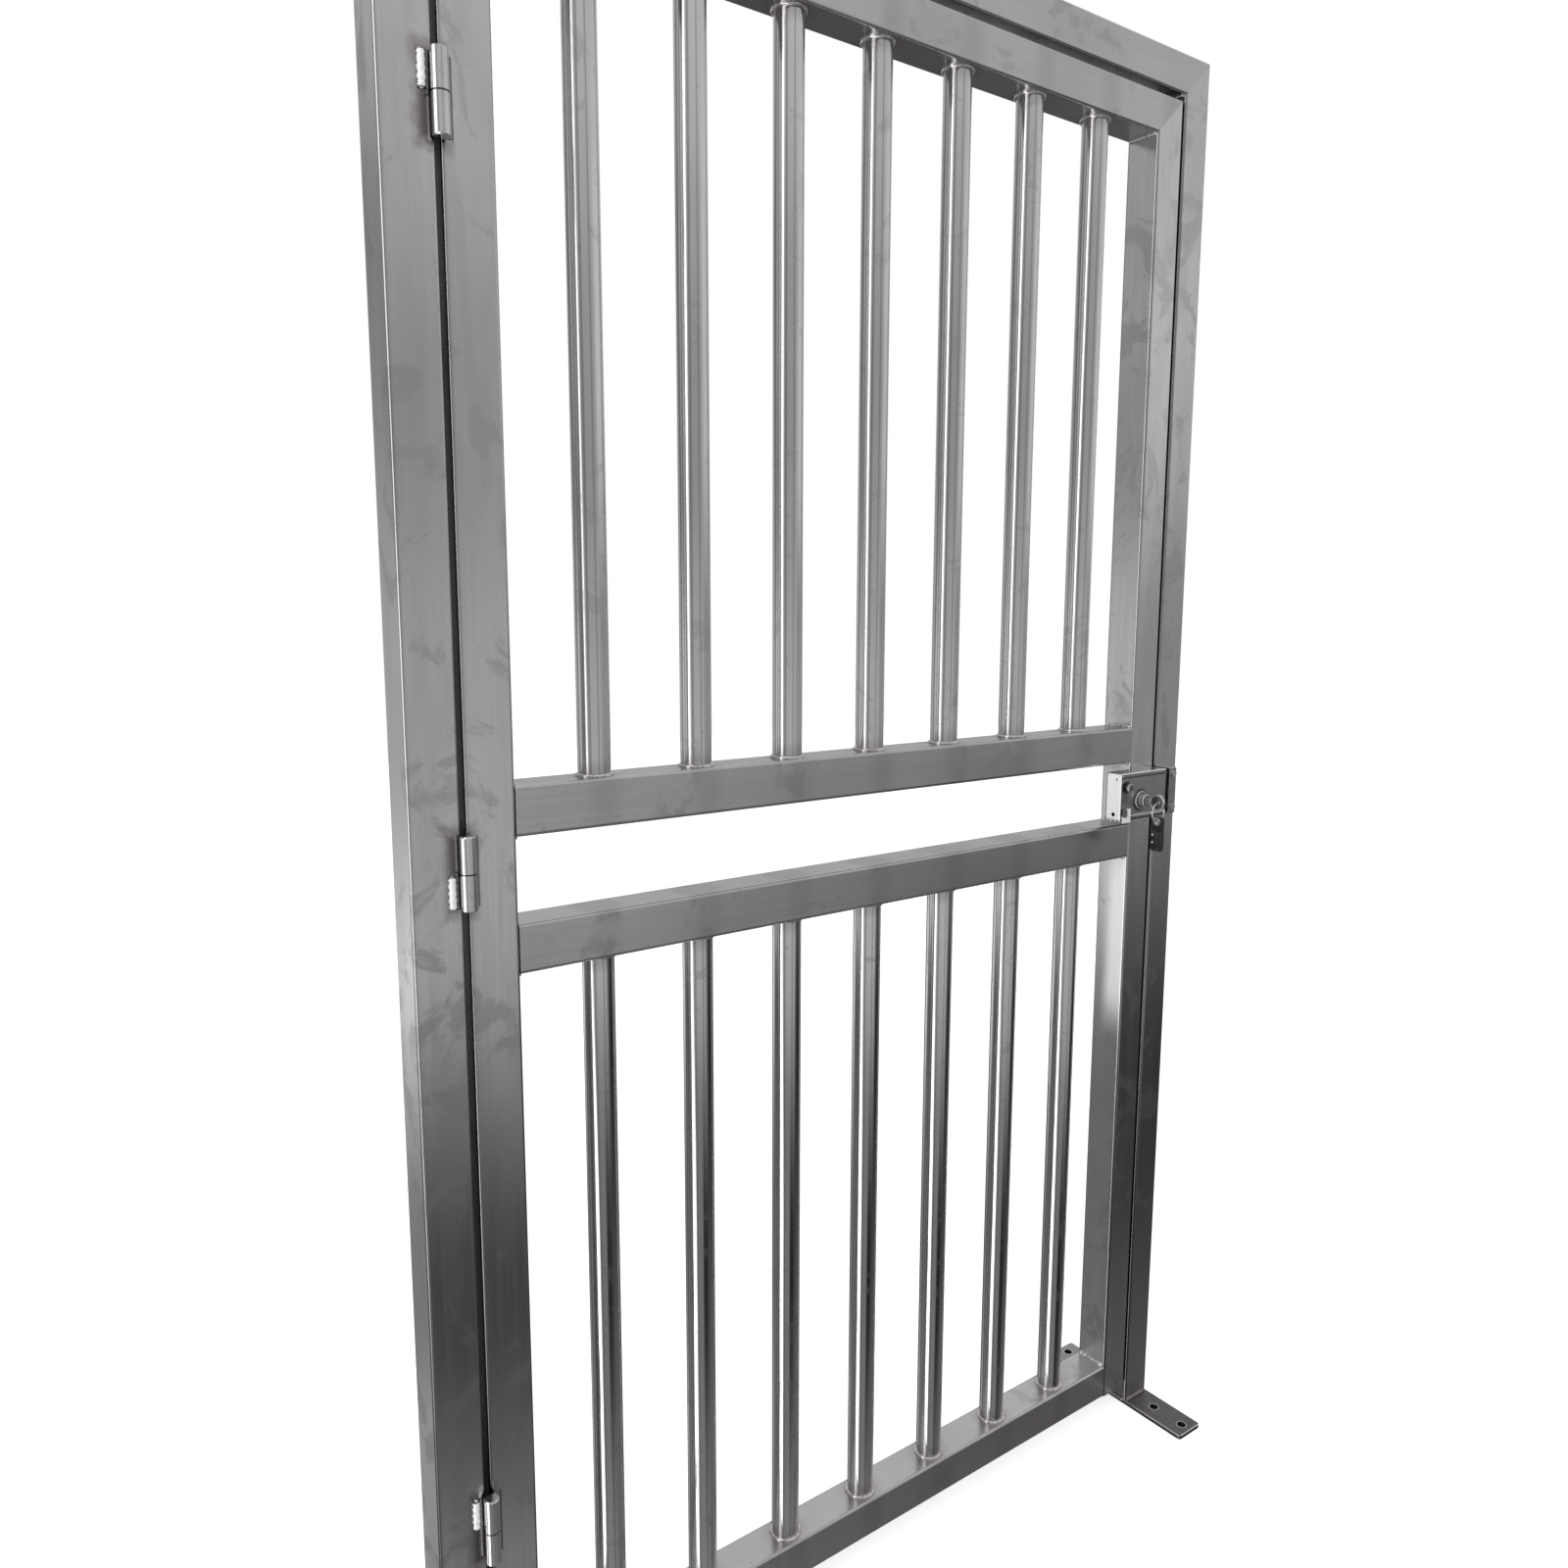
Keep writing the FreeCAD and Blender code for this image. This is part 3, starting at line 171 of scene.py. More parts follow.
def addRelief(tree, shader, strength, depth, height):
    relief = addNode(tree, "ShaderNodeBump", {"Strength": strength, "Distance": depth, "Height": height})
    tree.links.new(relief.outputs[0], shader.inputs["Normal"])


# Studio: white surround for the eye, and a soft grey room that the steel mirrors
studio = {
    "frontNear": (
        (-90, 0.30), (-46, 0.34), (-41, 0.27), (-38, 0.17), (-35, 0.04), (-31, 0.0), (-28, 0.01),
        (-25.5, 0.10), (-22, 0.27), (-18.5, 0.49), (-15, 0.54), (-8, 0.48), (-2, 0.47), (4, 0.36),
        (8, 0.33), (14, 0.38), (20, 0.52), (30, 0.60), (90, 0.70)),
    "frontFar": (
        (-90, 0.20), (-40, 0.17), (-33, 0.12), (-30, 0.08), (-28, 0.055), (-25, 0.045), (-22, 0.02),
        (-19, 0.015), (-17, 0.03), (-15.5, 0.10), (-12, 0.15), (-9, 0.24), (-6, 0.37), (-2, 0.31),
        (0, 0.28), (3, 0.48), (6, 0.60), (12, 0.62), (18, 0.66), (22, 0.56), (30, 0.60), (90, 0.70)),
    "sideNear": (
        (-90, 0.12), (-36, 0.22), (-30, 0.20), (-22, 0.18), (-20, 0.10), (-17.5, 0.06), (-15.5, 0.42),
        (-13.5, 1.12), (-11, 0.72), (-8, 0.56), (-5, 0.66), (-2, 0.72), (1, 0.45), (5, 0.28),
        (9, 0.36), (13, 0.44), (20, 0.46), (90, 0.60)),
    "sideFar": (
        (-90, 0.30), (-40, 0.34), (-36, 0.46), (-32, 0.24), (-27, 0.24), (-23, 0.46), (-18, 0.86),
        (-13, 0.74), (-8, 0.50), (-2, 0.48), (4, 0.40), (9, 0.30), (16, 0.26), (22, 0.46), (90, 0.60)),
    "rightRoom": (
        (-90, 0.08), (-32, 0.08), (-16, 0.12), (-2, 0.32), (10, 0.50), (40, 0.72), (90, 0.76)),
    "farToNear": (-53, -20),       # turn, in degrees to the left of straight ahead
    "leftFloor": ((0, 12), 0.20),
    "rightToFront": (-92, -72),
    "softboxLight": 2.6,
    "softboxLeft": (68, 80),
    "softboxRight": (95, 107),
    "softboxLean": (-28, -16, 14, 0),      # low down it stands further round to the front
    "sideNearToFar": (135, 150),
    "darkStand": ((-15, -11, -7, -2), 0.55),
    "darkSides": (((107, 112, 119, 124), 0.5), ((134, 140, 149, 155), 0.35)),
    "darkGap": ((42, 47, 58, 64), 0.55),
    "floorSize": 16.0,
    "floorShade": 0.80,
    "floorGlow": 0.62,
    "floorRoughness": 0.9,
    "keyPlace": (-2.2, -2.6, 4.2),
    "keyAim": (0.0, 0.0, 0.6),
    "keySize": 3.0,
    "keyWatts": 70.0,
}


def addRoomRamp(tree, degrees, stops):
    low, high = stops[0][0], stops[-1][0]
    part = addNode(tree, "ShaderNodeMapRange", {"Value": degrees, "From Min": low, "From Max": high})
    node = addNode(tree, "ShaderNodeValToRGB", {"Fac": part.outputs["Result"]})
    elements = node.color_ramp.elements
    elements[0].position, elements[1].position = 0.0, 1.0
    for index, (place, level) in enumerate(stops):
        if index == 0:
            element = elements[0]
        elif index == len(stops) - 1:
            element = elements[len(elements) - 1]
        else:
            element = elements.new((place - low) / (high - low))
        green = level * (0.9 + 0.085 * min(1.0, level / 0.3))      # shadows lean to plum
        element.color = (level, green, level, 1.0)
    return node.outputs["Color"]


def makeRoom():
    world = bpy.data.worlds.new("studioRoom")
    world.use_nodes = True
    scene.world = world
    tree = world.node_tree
    tree.nodes.clear()
    way = addNode(tree, "ShaderNodeTexCoord").outputs["Generated"]
    parts = split(tree, way)
    toLeft = calc(tree, "MULTIPLY", parts[0], -1.0)
    toFront = calc(tree, "MULTIPLY", parts[1], -1.0)
    turn = calc(tree, "MULTIPLY", calc(tree, "ARCTAN2", toLeft, toFront), 180 / math.pi)
    rise = calc(tree, "MULTIPLY", calc(tree, "ARCSINE", parts[2]), 180 / math.pi)
    near = addRoomRamp(tree, rise, studio["frontNear"])
    far = addRoomRamp(tree, rise, studio["frontFar"])
    front = mixColors(tree, fade(tree, turn, *studio["farToNear"]), far, near)
    limits, least = studio["leftFloor"]
    front = mixColors(tree, fade(tree, turn, *limits), front, grey(least), "LIGHTEN")
    for limits, level in (studio["darkStand"], studio["darkGap"]):
        inside = band(tree, turn, limits[:2], limits[2:])
        front = mixColors(tree, inside, front, grey(level), "MULTIPLY")
    sideNear = addRoomRamp(tree, rise, studio["sideNear"])
    sideFar = addRoomRamp(tree, rise, studio["sideFar"])
    side = mixColors(tree, fade(tree, turn, *studio["sideNearToFar"]), sideNear, sideFar)
    for limits, level in studio["darkSides"]:
        inside = band(tree, turn, limits[:2], limits[2:])
        side = mixColors(tree, inside, side, grey(level), "MULTIPLY")
    right = addRoomRamp(tree, rise, studio["rightRoom"])
    room = mixColors(tree, fade(tree, turn, *studio["rightToFront"]), right, front)
    leaning = calc(tree, "ADD", turn, fade(tree, rise, *studio["softboxLean"]))
    lamp = fade(tree, leaning, *studio["softboxLeft"])
    room = mixColors(tree, lamp, room, grey(studio["softboxLight"]))
    room = mixColors(tree, fade(tree, leaning, *studio["softboxRight"]), room, side)
    eye = addNode(tree, "ShaderNodeLightPath").outputs["Is Camera Ray"]
    seen = mixColors(tree, eye, room, grey(1.0))
    background = addNode(tree, "ShaderNodeBackground", {"Color": seen})
    output = addNode(tree, "ShaderNodeOutputWorld")
    tree.links.new(background.outputs[0], output.inputs["Surface"])


anchorHoles = {      # where the foot plates' anchor holes stand; the floor gets painted shade there
    "fromMiddle": 0.545,
    "pairMiddle": 0.085,
    "halfPair": 0.025,
    "radius": 0.0068,
    "soft": 0.001,
    "depthShade": 0.01,
}


def makeFloor():
    shape = bmesh.new()
    bmesh.ops.create_grid(shape, x_segments=1, y_segments=1, size=studio["floorSize"] / 2)
    mesh = bpy.data.meshes.new("studioFloor")
    shape.to_mesh(mesh)
    shape.free()
    floor = bpy.data.objects.new("studioFloor", mesh)
    scene.collection.objects.link(floor)
    material, tree, shader = newMaterial("paleFloor")
    parts = split(tree, objectPlace(tree))
    across = calc(tree, "SUBTRACT", calc(tree, "ABSOLUTE", parts[0]), anchorHoles["fromMiddle"])
    along = awayFrom(tree, calc(tree, "ABSOLUTE", parts[1]), anchorHoles["pairMiddle"])
    along = calc(tree, "SUBTRACT", along, anchorHoles["halfPair"])
    radius = anchorHoles["radius"]
    # painted shade: inside each anchor hole the floor is dark and has no glow
    clear = fade(tree, lengthOf(tree, across, along), radius, radius + anchorHoles["soft"])
    ground = mixColors(tree, clear, grey(anchorHoles["depthShade"]), grey(studio["floorShade"]))
    tree.links.new(ground, shader.inputs["Base Color"])
    shader.inputs["Roughness"].default_value = studio["floorRoughness"]
    light = mixColors(tree, clear, grey(0.0), grey(1.0))
    tree.links.new(light, shader.inputs["Emission Color"])
    shader.inputs["Emission Strength"].default_value = studio["floorGlow"]
    mesh.materials.append(material)
    floor.visible_glossy = False


def makeKeyLight():
    data = bpy.data.lights.new("softKey", "AREA")
    data.shape = "SQUARE"
    data.size = studio["keySize"]
    data.energy = studio["keyWatts"]
    light = bpy.data.objects.new("softKey", data)
    place = Vector(studio["keyPlace"])
    aim = (Vector(studio["keyAim"]) - place).to_track_quat("-Z", "Y")
    light.matrix_world = Matrix.Translation(place) @ aim.to_matrix().to_4x4()
    scene.collection.objects.link(light)
    light.visible_glossy = False


makeRoom()
makeFloor()
makeKeyLight()
print("studio lit")


# Finishes that several materials share
brushedMarks = {
    "fineScale": 1.0,
    "wideScale": 0.16,
    "fineShare": 0.6,
}
wearMarks = {
    "smearRoughness": 0.62,
    "smearTwist": 1.4,
    "smearEdge": 0.09,
    "cloudScale": 4.2,
    "cloudRange": (0.3, 0.7),
    "dripScale": (34.0, 34.0, 5.0),      # drawn out downwards
    "dripTwist": 0.6,
    "dripRange": (0.38, 0.66),
    "speckScale": 120.0,
    "speckRange": (0.66, 0.74),
}


def makeBrushedGroup():
    group, source, result = newGroup(
        "brushedGrain",
        [("Vector", "NodeSocketVector", None), ("Roughness", "NodeSocketFloat", 0.25),
         ("Spread", "NodeSocketFloat", 0.1)],
        [("Roughness", "NodeSocketFloat"), ("Height", "NodeSocketFloat"), ("Shade", "NodeSocketFloat")])
    fine = noise(group, source["Vector"], brushedMarks["fineScale"], 4.0)
    wide = noise(group, source["Vector"], brushedMarks["wideScale"], 2.0)
    share = brushedMarks["fineShare"]
    both = calc(group, "ADD", calc(group, "MULTIPLY", fine, share),
                calc(group, "MULTIPLY", wide, 1.0 - share))
    centred = calc(group, "SUBTRACT", both, 0.5)
    rough = calc(group, "ADD", source["Roughness"], calc(group, "MULTIPLY", centred, source["Spread"]))
    group.links.new(rough, result["Roughness"])
    group.links.new(fine, result["Height"])
    group.links.new(both, result["Shade"])
    return group


def makeMarksGroup():
    group, source, result = newGroup(
        "handlingMarks",
        [("Vector", "NodeSocketVector", None), ("Size", "NodeSocketFloat", 11.0),
         ("Reach", "NodeSocketFloat", 0.5)],
        [("Smear", "NodeSocketFloat"), ("Cloud", "NodeSocketFloat"), ("Specks", "NodeSocketFloat"),
         ("Drips", "NodeSocketFloat")])
    place = source["Vector"]
    smear = noise(group, place, source["Size"], 5.0, Roughness=wearMarks["smearRoughness"],
                  Distortion=wearMarks["smearTwist"])
    edge = calc(group, "ADD", source["Reach"], wearMarks["smearEdge"])
    group.links.new(fade(group, smear, source["Reach"], edge), result["Smear"])
    cloud = noise(group, place, wearMarks["cloudScale"], 3.0)
    group.links.new(fade(group, cloud, *wearMarks["cloudRange"]), result["Cloud"])
    drawn = stretch(group, place, wearMarks["dripScale"])
    drips = noise(group, drawn, 1.0, 3.0, Distortion=wearMarks["dripTwist"])
    group.links.new(fade(group, drips, *wearMarks["dripRange"]), result["Drips"])
    dots = noise(group, place, wearMarks["speckScale"], 2.0)
    group.links.new(fade(group, dots, *wearMarks["speckRange"]), result["Specks"])
    return group


def makeHeatGroup():
    group, source, result = newGroup(
        "barHeat",
        [("Vector", "NodeSocketVector", None), ("Inner", "NodeSocketFloat", 0.018),
         ("Outer", "NodeSocketFloat", 0.036)],
        [("Heat", "NodeSocketFloat")])
    parts = split(group, source["Vector"])
    across = calc(group, "PINGPONG", parts[0], barPitch / 2)
    away = lengthOf(group, across, parts[1])
    group.links.new(fade(group, away, source["Inner"], source["Outer"], 1.0, 0.0), result["Heat"])
    return group


def centreOf(name):
    low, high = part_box(name)
    return (low + high) / 2


barPitch = centreOf("upper_bar_2").x - centreOf("upper_bar_1").x
brushedGrain = makeBrushedGroup()
handlingMarks = makeMarksGroup()
barHeat = makeHeatGroup()


# Steel of the tubes, with the marks that its place on the gate gives it
tubeFinish = {
    "upright": (420.0, 420.0, 5.0),      # grain per metre along each axis
    "level": (5.0, 420.0, 420.0),
    "light": (0.80, 0.79, 0.805, 1.0),
    # painted shade: darker copies of the tube steel for the right post, and for the header and rails
    "rightPostShadedLight": (0.70, 0.69, 0.705, 1.0),
    "railShadedLight": (0.64, 0.63, 0.645, 1.0),
    "heat": (0.40, 0.375, 0.37, 1.0),
    "dullShare": 0.88,
    "stainShare": 0.68,
    "streakRange": (0.35, 0.65),
    "streak": 0.16,
    "smearShare": 0.6,
    "smearRoughness": 0.06,
    "railHeat": 0.45,
    "endHeat": 0.5,
    "endRange": (0.004, 0.022),
}
# Round each hinge: heat tint, painted shade beside the barrel, and a painted shadow line on the stile along
# the barrel's edge
hingeTintAndShade = {
    "line": centreOf("lower_hinge_pin").x - 0.006,
    "first": centreOf("lower_hinge_pin").z,
    "pitch": centreOf("middle_hinge_pin").z - centreOf("lower_hinge_pin").z,
    "wanderScale": 55.0,
    "uneven": 0.018,
    "heatSize": (0.0125, 0.041),         # half width and half height
    "heatSoft": (-0.002, 0.009),
    "heatAmount": 0.75,
    "shadeSize": (0.0100, 0.0350),
    "shadeSoft": (-0.0035, 0.0045),
    "shadeUneven": 0.2,
    "shadeAmount": 0.8,
    "shade": (0.13, 0.12, 0.12, 1.0),
    "outlineAt": centreOf("lower_hinge_pin").x + 0.0127,
    "outlineSoft": (0.0004, 0.0016),
    "outlineEnds": (0.0330, 0.0360),
    "outlineAmount": 0.8,
}


def heatTintAndShade(tree, place, color, tintAndShade):
    parts = split(tree, place)
    wander = noise(tree, place, tintAndShade["wanderScale"], 4.0, Roughness=0.7)
    uneven = calc(tree, "MULTIPLY", calc(tree, "SUBTRACT", wander, 0.5), tintAndShade["uneven"])
    fromLine = awayFrom(tree, parts[0], tintAndShade["line"])
    fromFirst = calc(tree, "SUBTRACT", parts[2], tintAndShade["first"])
    fromMiddle = calc(tree, "PINGPONG", fromFirst, tintAndShade["pitch"] / 2)

    def outside(size):
        beside = calc(tree, "SUBTRACT", fromLine, size[0])
        beyond = calc(tree, "SUBTRACT", fromMiddle, size[1])
        return calc(tree, "MAXIMUM", beside, beyond)

    away = calc(tree, "ADD", outside(tintAndShade["heatSize"]), uneven)
    warm = fade(tree, away, *tintAndShade["heatSoft"], tintAndShade["heatAmount"], 0.0)
    color = mixColors(tree, warm, color, tubeFinish["heat"])
    # painted shade beside each barrel
    less = calc(tree, "MULTIPLY", uneven, tintAndShade["shadeUneven"])
    close = calc(tree, "ADD", outside(tintAndShade["shadeSize"]), less)
    close = fade(tree, close, *tintAndShade["shadeSoft"], tintAndShade["shadeAmount"], 0.0)
    color = mixColors(tree, close, color, tintAndShade["shade"])
    # painted shadow line where the stile meets the barrel's edge
    fromOutline = awayFrom(tree, parts[0], tintAndShade["outlineAt"])
    shadowLine = calc(tree, "MULTIPLY",
                   fade(tree, fromOutline, *tintAndShade["outlineSoft"], tintAndShade["outlineAmount"], 0.0),
                   fade(tree, fromMiddle, *tintAndShade["outlineEnds"], 1.0, 0.0))
    return mixColors(tree, shadowLine, color, tintAndShade["shade"])


# Painted shade on the tubes' rounded corners, stronger low down, which dims their highlights, and on the
# faces beside the leaf gap
def tubeCorners(box, gapSide):
    low, high = box
    return {
        "middle": (low.x + high.x) / 2,
        "half": (high.x - low.x) / 2,
        "gapFace": high.x if gapSide > 0 else low.x,
        "round": (0.0036, 0.0012),
        "lowDown": (0.25, 1.0, 0.96, 0.40),
        "gapSoft": (0.0002, 0.0015),
        "gapShadeAmount": 0.55,
        "gapLow": (0.30, 0.48, 0.42, 0.0),
        "gapFoot": (0.030, 0.045),
        "cornerDark": (0.06, 0.055, 0.06, 1.0),
        "dark": (0.16, 0.15, 0.155, 1.0),
    }


def shadeCorners(tree, place, color, corners):
    parts = split(tree, place)
    side, depth = calc(tree, "ABSOLUTE", parts[0]), calc(tree, "ABSOLUTE", parts[1])
    across = awayFrom(tree, side, corners["middle"])
    start, finish = (corners["half"] - part for part in corners["round"])
    corner = calc(tree, "MULTIPLY", fade(tree, across, start, finish), fade(tree, depth, start, finish))
    amount = calc(tree, "MULTIPLY", corner, fade(tree, parts[2], *corners["lowDown"]))
    color = mixColors(tree, amount, color, corners["cornerDark"])
    fromGap = awayFrom(tree, side, corners["gapFace"])
    low = calc(tree, "MULTIPLY", fade(tree, parts[2], *corners["gapLow"]),
               fade(tree, parts[2], *corners["gapFoot"]))
    beside = calc(tree, "MULTIPLY", fade(tree, fromGap, *corners["gapSoft"], 1.0, 0.0),
                  calc(tree, "ADD", low, corners["gapShadeAmount"]))
    gap = calc(tree, "MULTIPLY", beside, fade(tree, depth, start, finish, 1.0, 0.0))
    return mixColors(tree, gap, color, corners["dark"])


def steel(name, grain, roughness, spread=0.10, smears=0.75, smearSize=11.0, reach=0.55, bump=0.04,
          heat=False, light=None, ends=None, drips=0.0, tintAndShade=None, specks=0.35, corners=None):
    material, tree, shader = newMaterial(name)
    place = objectPlace(tree)
    grainOut = useGroup(tree, brushedGrain, {
        "Vector": stretch(tree, place, grain), "Roughness": roughness, "Spread": spread})
    marks = useGroup(tree, handlingMarks, {"Vector": place, "Size": smearSize, "Reach": reach})
    bright = light or tubeFinish["light"]
    dull = tuple(part * tubeFinish["dullShare"] for part in bright[:3]) + (1.0,)
    stain = tuple(part * tubeFinish["stainShare"] for part in bright[:3]) + (1.0,)
    color = mixColors(tree, marks["Cloud"], dull, bright)
    streak = fade(tree, grainOut["Shade"], *tubeFinish["streakRange"], 0.0, tubeFinish["streak"])
    color = mixColors(tree, streak, color, stain)
    for mark, amount in (("Drips", drips), ("Smear", smears * tubeFinish["smearShare"]), ("Specks", specks)):
        if amount:
            color = mixColors(tree, calc(tree, "MULTIPLY", marks[mark], amount), color, stain)
    if heat:
        warm = useGroup(tree, barHeat, {"Vector": place})["Heat"]
        warm = calc(tree, "MULTIPLY", warm, tubeFinish["railHeat"])
        color = mixColors(tree, warm, color, tubeFinish["heat"])
    if ends:
        height = split(tree, place)[2]
        near, far = tubeFinish["endRange"]
        foot = fade(tree, height, ends[0] + near, ends[0] + far, tubeFinish["endHeat"], 0.0)
        head = fade(tree, height, ends[1] - far, ends[1] - near, 0.0, tubeFinish["endHeat"])
        color = mixColors(tree, calc(tree, "ADD", foot, head), color, tubeFinish["heat"])
    if tintAndShade:
        color = heatTintAndShade(tree, place, color, tintAndShade)
    if corners:
        color = shadeCorners(tree, place, color, corners)
    tree.links.new(color, shader.inputs["Base Color"])
    extra = calc(tree, "MULTIPLY", marks["Smear"], tubeFinish["smearRoughness"])
    tree.links.new(calc(tree, "ADD", grainOut["Roughness"], extra), shader.inputs["Roughness"])
    shader.inputs["Metallic"].default_value = 1.0
    addRelief(tree, shader, bump, 0.0004, grainOut["Height"])
    return material


def paint(material, *names):
    for name in names:
        for holder in nodes[name].material_slots:
            holder.material = material


# Painted light: a lit patch on the closing stile's inner face under the middle rails, as if lit from the side
stilePatch = {
    "face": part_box("closing_stile")[0].x,
    "faceSoft": (0.0004, 0.0010),
    "depth": (-0.006, 0.016),
    "height": (0.60, 0.69),
    "top": (0.90, 0.92),
    "color": (0.95, 0.95, 0.95, 1.0),
    "dull": 0.6,
}


def lightPatch(material, patch):
    tree, shader, base, place = reopen(material)
    parts = split(tree, place)
    fromFace = awayFrom(tree, parts[0], patch["face"])
    onFace = calc(tree, "MULTIPLY", fade(tree, fromFace, *patch["faceSoft"], 1.0, 0.0),
                  fade(tree, parts[1], *patch["depth"], 1.0, 0.0))
    amount = calc(tree, "MULTIPLY", onFace, band(tree, parts[2], patch["height"], patch["top"]))
    tree.links.new(mixColors(tree, amount, base, patch["color"]), shader.inputs["Base Color"])
    # the painted light patch is made less metallic
    bare = calc(tree, "SUBTRACT", 1.0, calc(tree, "MULTIPLY", amount, patch["dull"]))
    tree.links.new(bare, shader.inputs["Metallic"])


def finishTubes():
    upright, level = tubeFinish["upright"], tubeFinish["level"]
    railShadedLight = tubeFinish["railShadedLight"]
    postCorners = tubeCorners(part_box("right_post"), -1)
    stileCorners = tubeCorners(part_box("closing_stile"), 1)
    postSteel = steel("postSteel", upright, 0.22, smears=1.15, reach=0.53, drips=0.34,
                      tintAndShade=hingeTintAndShade, corners=postCorners)
    rightPostShadedSteel = steel("rightPostShadedSteel", upright, 0.22, smears=1.0, reach=0.53, drips=0.3,
                           tintAndShade=hingeTintAndShade, corners=postCorners, light=tubeFinish["rightPostShadedLight"])
    headerSteel = steel("headerSteel", level, 0.24, smears=0.9, light=railShadedLight)
    stileSteel = steel("stileSteel", upright, 0.21, smears=1.0, drips=0.3, tintAndShade=hingeTintAndShade,
                       corners=stileCorners)
    lightPatch(stileSteel, stilePatch)
    railSteel = steel("railSteel", level, 0.24, smears=0.7, heat=True, light=railShadedLight)
    paint(postSteel, "left_post")
    paint(rightPostShadedSteel, "right_post")
    paint(headerSteel, "header")
    paint(stileSteel, "hinge_stile", "closing_stile", "hinge_stile_cap", "closing_stile_cap")
    paint(railSteel, "top_rail", "upper_middle_rail", "lower_middle_rail", "bottom_rail")


# Round bars
barFinish = {
    "grain": (300.0, 300.0, 4.0),
    "roughness": 0.15,
    "spread": 0.06,
    "smearSize": 16.0,
    "count": 7,
}


def finishBars():
    for row in ("upper", "lower"):
        low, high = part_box(row + "_bar_1")
        barSteel = steel(row + "BarSteel", barFinish["grain"], barFinish["roughness"],
                         spread=barFinish["spread"], smears=0.8, smearSize=barFinish["smearSize"],
                         reach=0.56, bump=0.02, ends=(low.z, high.z))
        for index in range(1, barFinish["count"] + 1):
            paint(barSteel, f"{row}_bar_{index}")


# Foot plates: dull mill steel, painted lighter towards the rear as a reflection, with painted highlights
# along the top rims, a brighter ring round each hole and painted shade inside the holes
plateLow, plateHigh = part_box("right_foot_plate")
plateFinish = {
    "grain": (140.0, 60.0, 140.0),
    "light": (0.18, 0.17, 0.18, 1.0),
    "halfWidth": (plateHigh.x - plateLow.x) / 2,
    "halfLength": plateHigh.y,
    "rear": (0.02, 0.05),
    "rearAmount": 0.8,
    "rearPaintedReflection": (0.42, 0.41, 0.42, 1.0),
    "rim": (-0.0016, -0.0006),
    "top": (plateHigh.z - 0.0012, plateHigh.z - 0.0006),
    "ring": ((0.0064, 0.0068), (0.0074, 0.0084)),
    "ringAmount": 0.5,
    "hole": (0.0061, 0.0063),
    "bright": (0.85, 0.84, 0.85, 1.0),
    "dark": (0.01, 0.01, 0.01, 1.0),
}


def finishPlates():
    material = steel("plateSteel", plateFinish["grain"], 0.38, spread=0.25, smears=1.2, smearSize=60.0,
                     specks=0.8, light=plateFinish["light"])
    paint(material, "left_foot_plate", "right_foot_plate")
    tree, shader, base, place = reopen(material)
    parts = split(tree, place)
    side = awayFrom(tree, calc(tree, "ABSOLUTE", parts[0]), anchorHoles["fromMiddle"])
    depth = calc(tree, "ABSOLUTE", parts[1])
    edge = calc(tree, "MAXIMUM", calc(tree, "SUBTRACT", side, plateFinish["halfWidth"]),
                calc(tree, "SUBTRACT", depth, plateFinish["halfLength"]))
    # painted reflection: lighter towards the rear
    rear = fade(tree, parts[1], *plateFinish["rear"], 0.0, plateFinish["rearAmount"])
    color = mixColors(tree, rear, base, plateFinish["rearPaintedReflection"])
    # painted highlight along the top rims
    rim = calc(tree, "MULTIPLY", fade(tree, edge, *plateFinish["rim"]),
               fade(tree, parts[2], *plateFinish["top"]))
    color = mixColors(tree, rim, color, plateFinish["bright"])
    along = calc(tree, "SUBTRACT", awayFrom(tree, depth, anchorHoles["pairMiddle"]), anchorHoles["halfPair"])
    away = lengthOf(tree, side, along)
    ring = calc(tree, "MULTIPLY", band(tree, away, *plateFinish["ring"]), plateFinish["ringAmount"])
    color = mixColors(tree, ring, color, plateFinish["bright"])
    # painted shade inside the holes
    hole = fade(tree, away, *plateFinish["hole"], 1.0, 0.0)
    tree.links.new(mixColors(tree, hole, color, plateFinish["dark"]), shader.inputs["Base Color"])


# Hinges: bright barrels, with painted shade on the side that faces the tubes
hingeFinish = {
    "barrelGrain": (500.0, 500.0, 30.0),
    "behind": (0.0035, 0.0052),          # from the pin's axis back
    "behindAmount": 0.9,
    "paintedShade": (0.08, 0.075, 0.08, 1.0),
    "washer": (0.12, 0.11, 0.11, 1.0),
}


def finishHinges():
    barrelSteel = steel("barrelSteel", hingeFinish["barrelGrain"], 0.2, smears=0.4, smearSize=40.0)
    tree, shader, base, place = reopen(barrelSteel)
    axis = centreOf("lower_hinge_pin").y
    start, finish = (axis + part for part in hingeFinish["behind"])
    # painted shade on the barrel's back, where it faces the tubes
    back = fade(tree, split(tree, place)[1], start, finish, 0.0, hingeFinish["behindAmount"])
    tree.links.new(mixColors(tree, back, base, hingeFinish["paintedShade"]), shader.inputs["Base Color"])
    brightSteel = steel("brightSteel", (300.0, 300.0, 300.0), 0.18, smears=0.3, smearSize=60.0)
    washerSteel = steel("washerSteel", (300.0, 300.0, 300.0), 0.35, light=hingeFinish["washer"])
    for level in ("lower", "middle", "upper"):
        paint(barrelSteel, level + "_hinge_post_knuckle", level + "_hinge_leaf_knuckle")
        paint(brightSteel, level + "_hinge_pin")
        paint(washerSteel, level + "_hinge_washer")
    paint(brightSteel, "lock_screws", "strike_screws", "bolt_guide_pin", "button_spring", "lock_bolt",
          "bolt_cam")


finishTubes()
finishBars()
finishPlates()
finishHinges()
print("tubes, bars, plates and hinges finished")
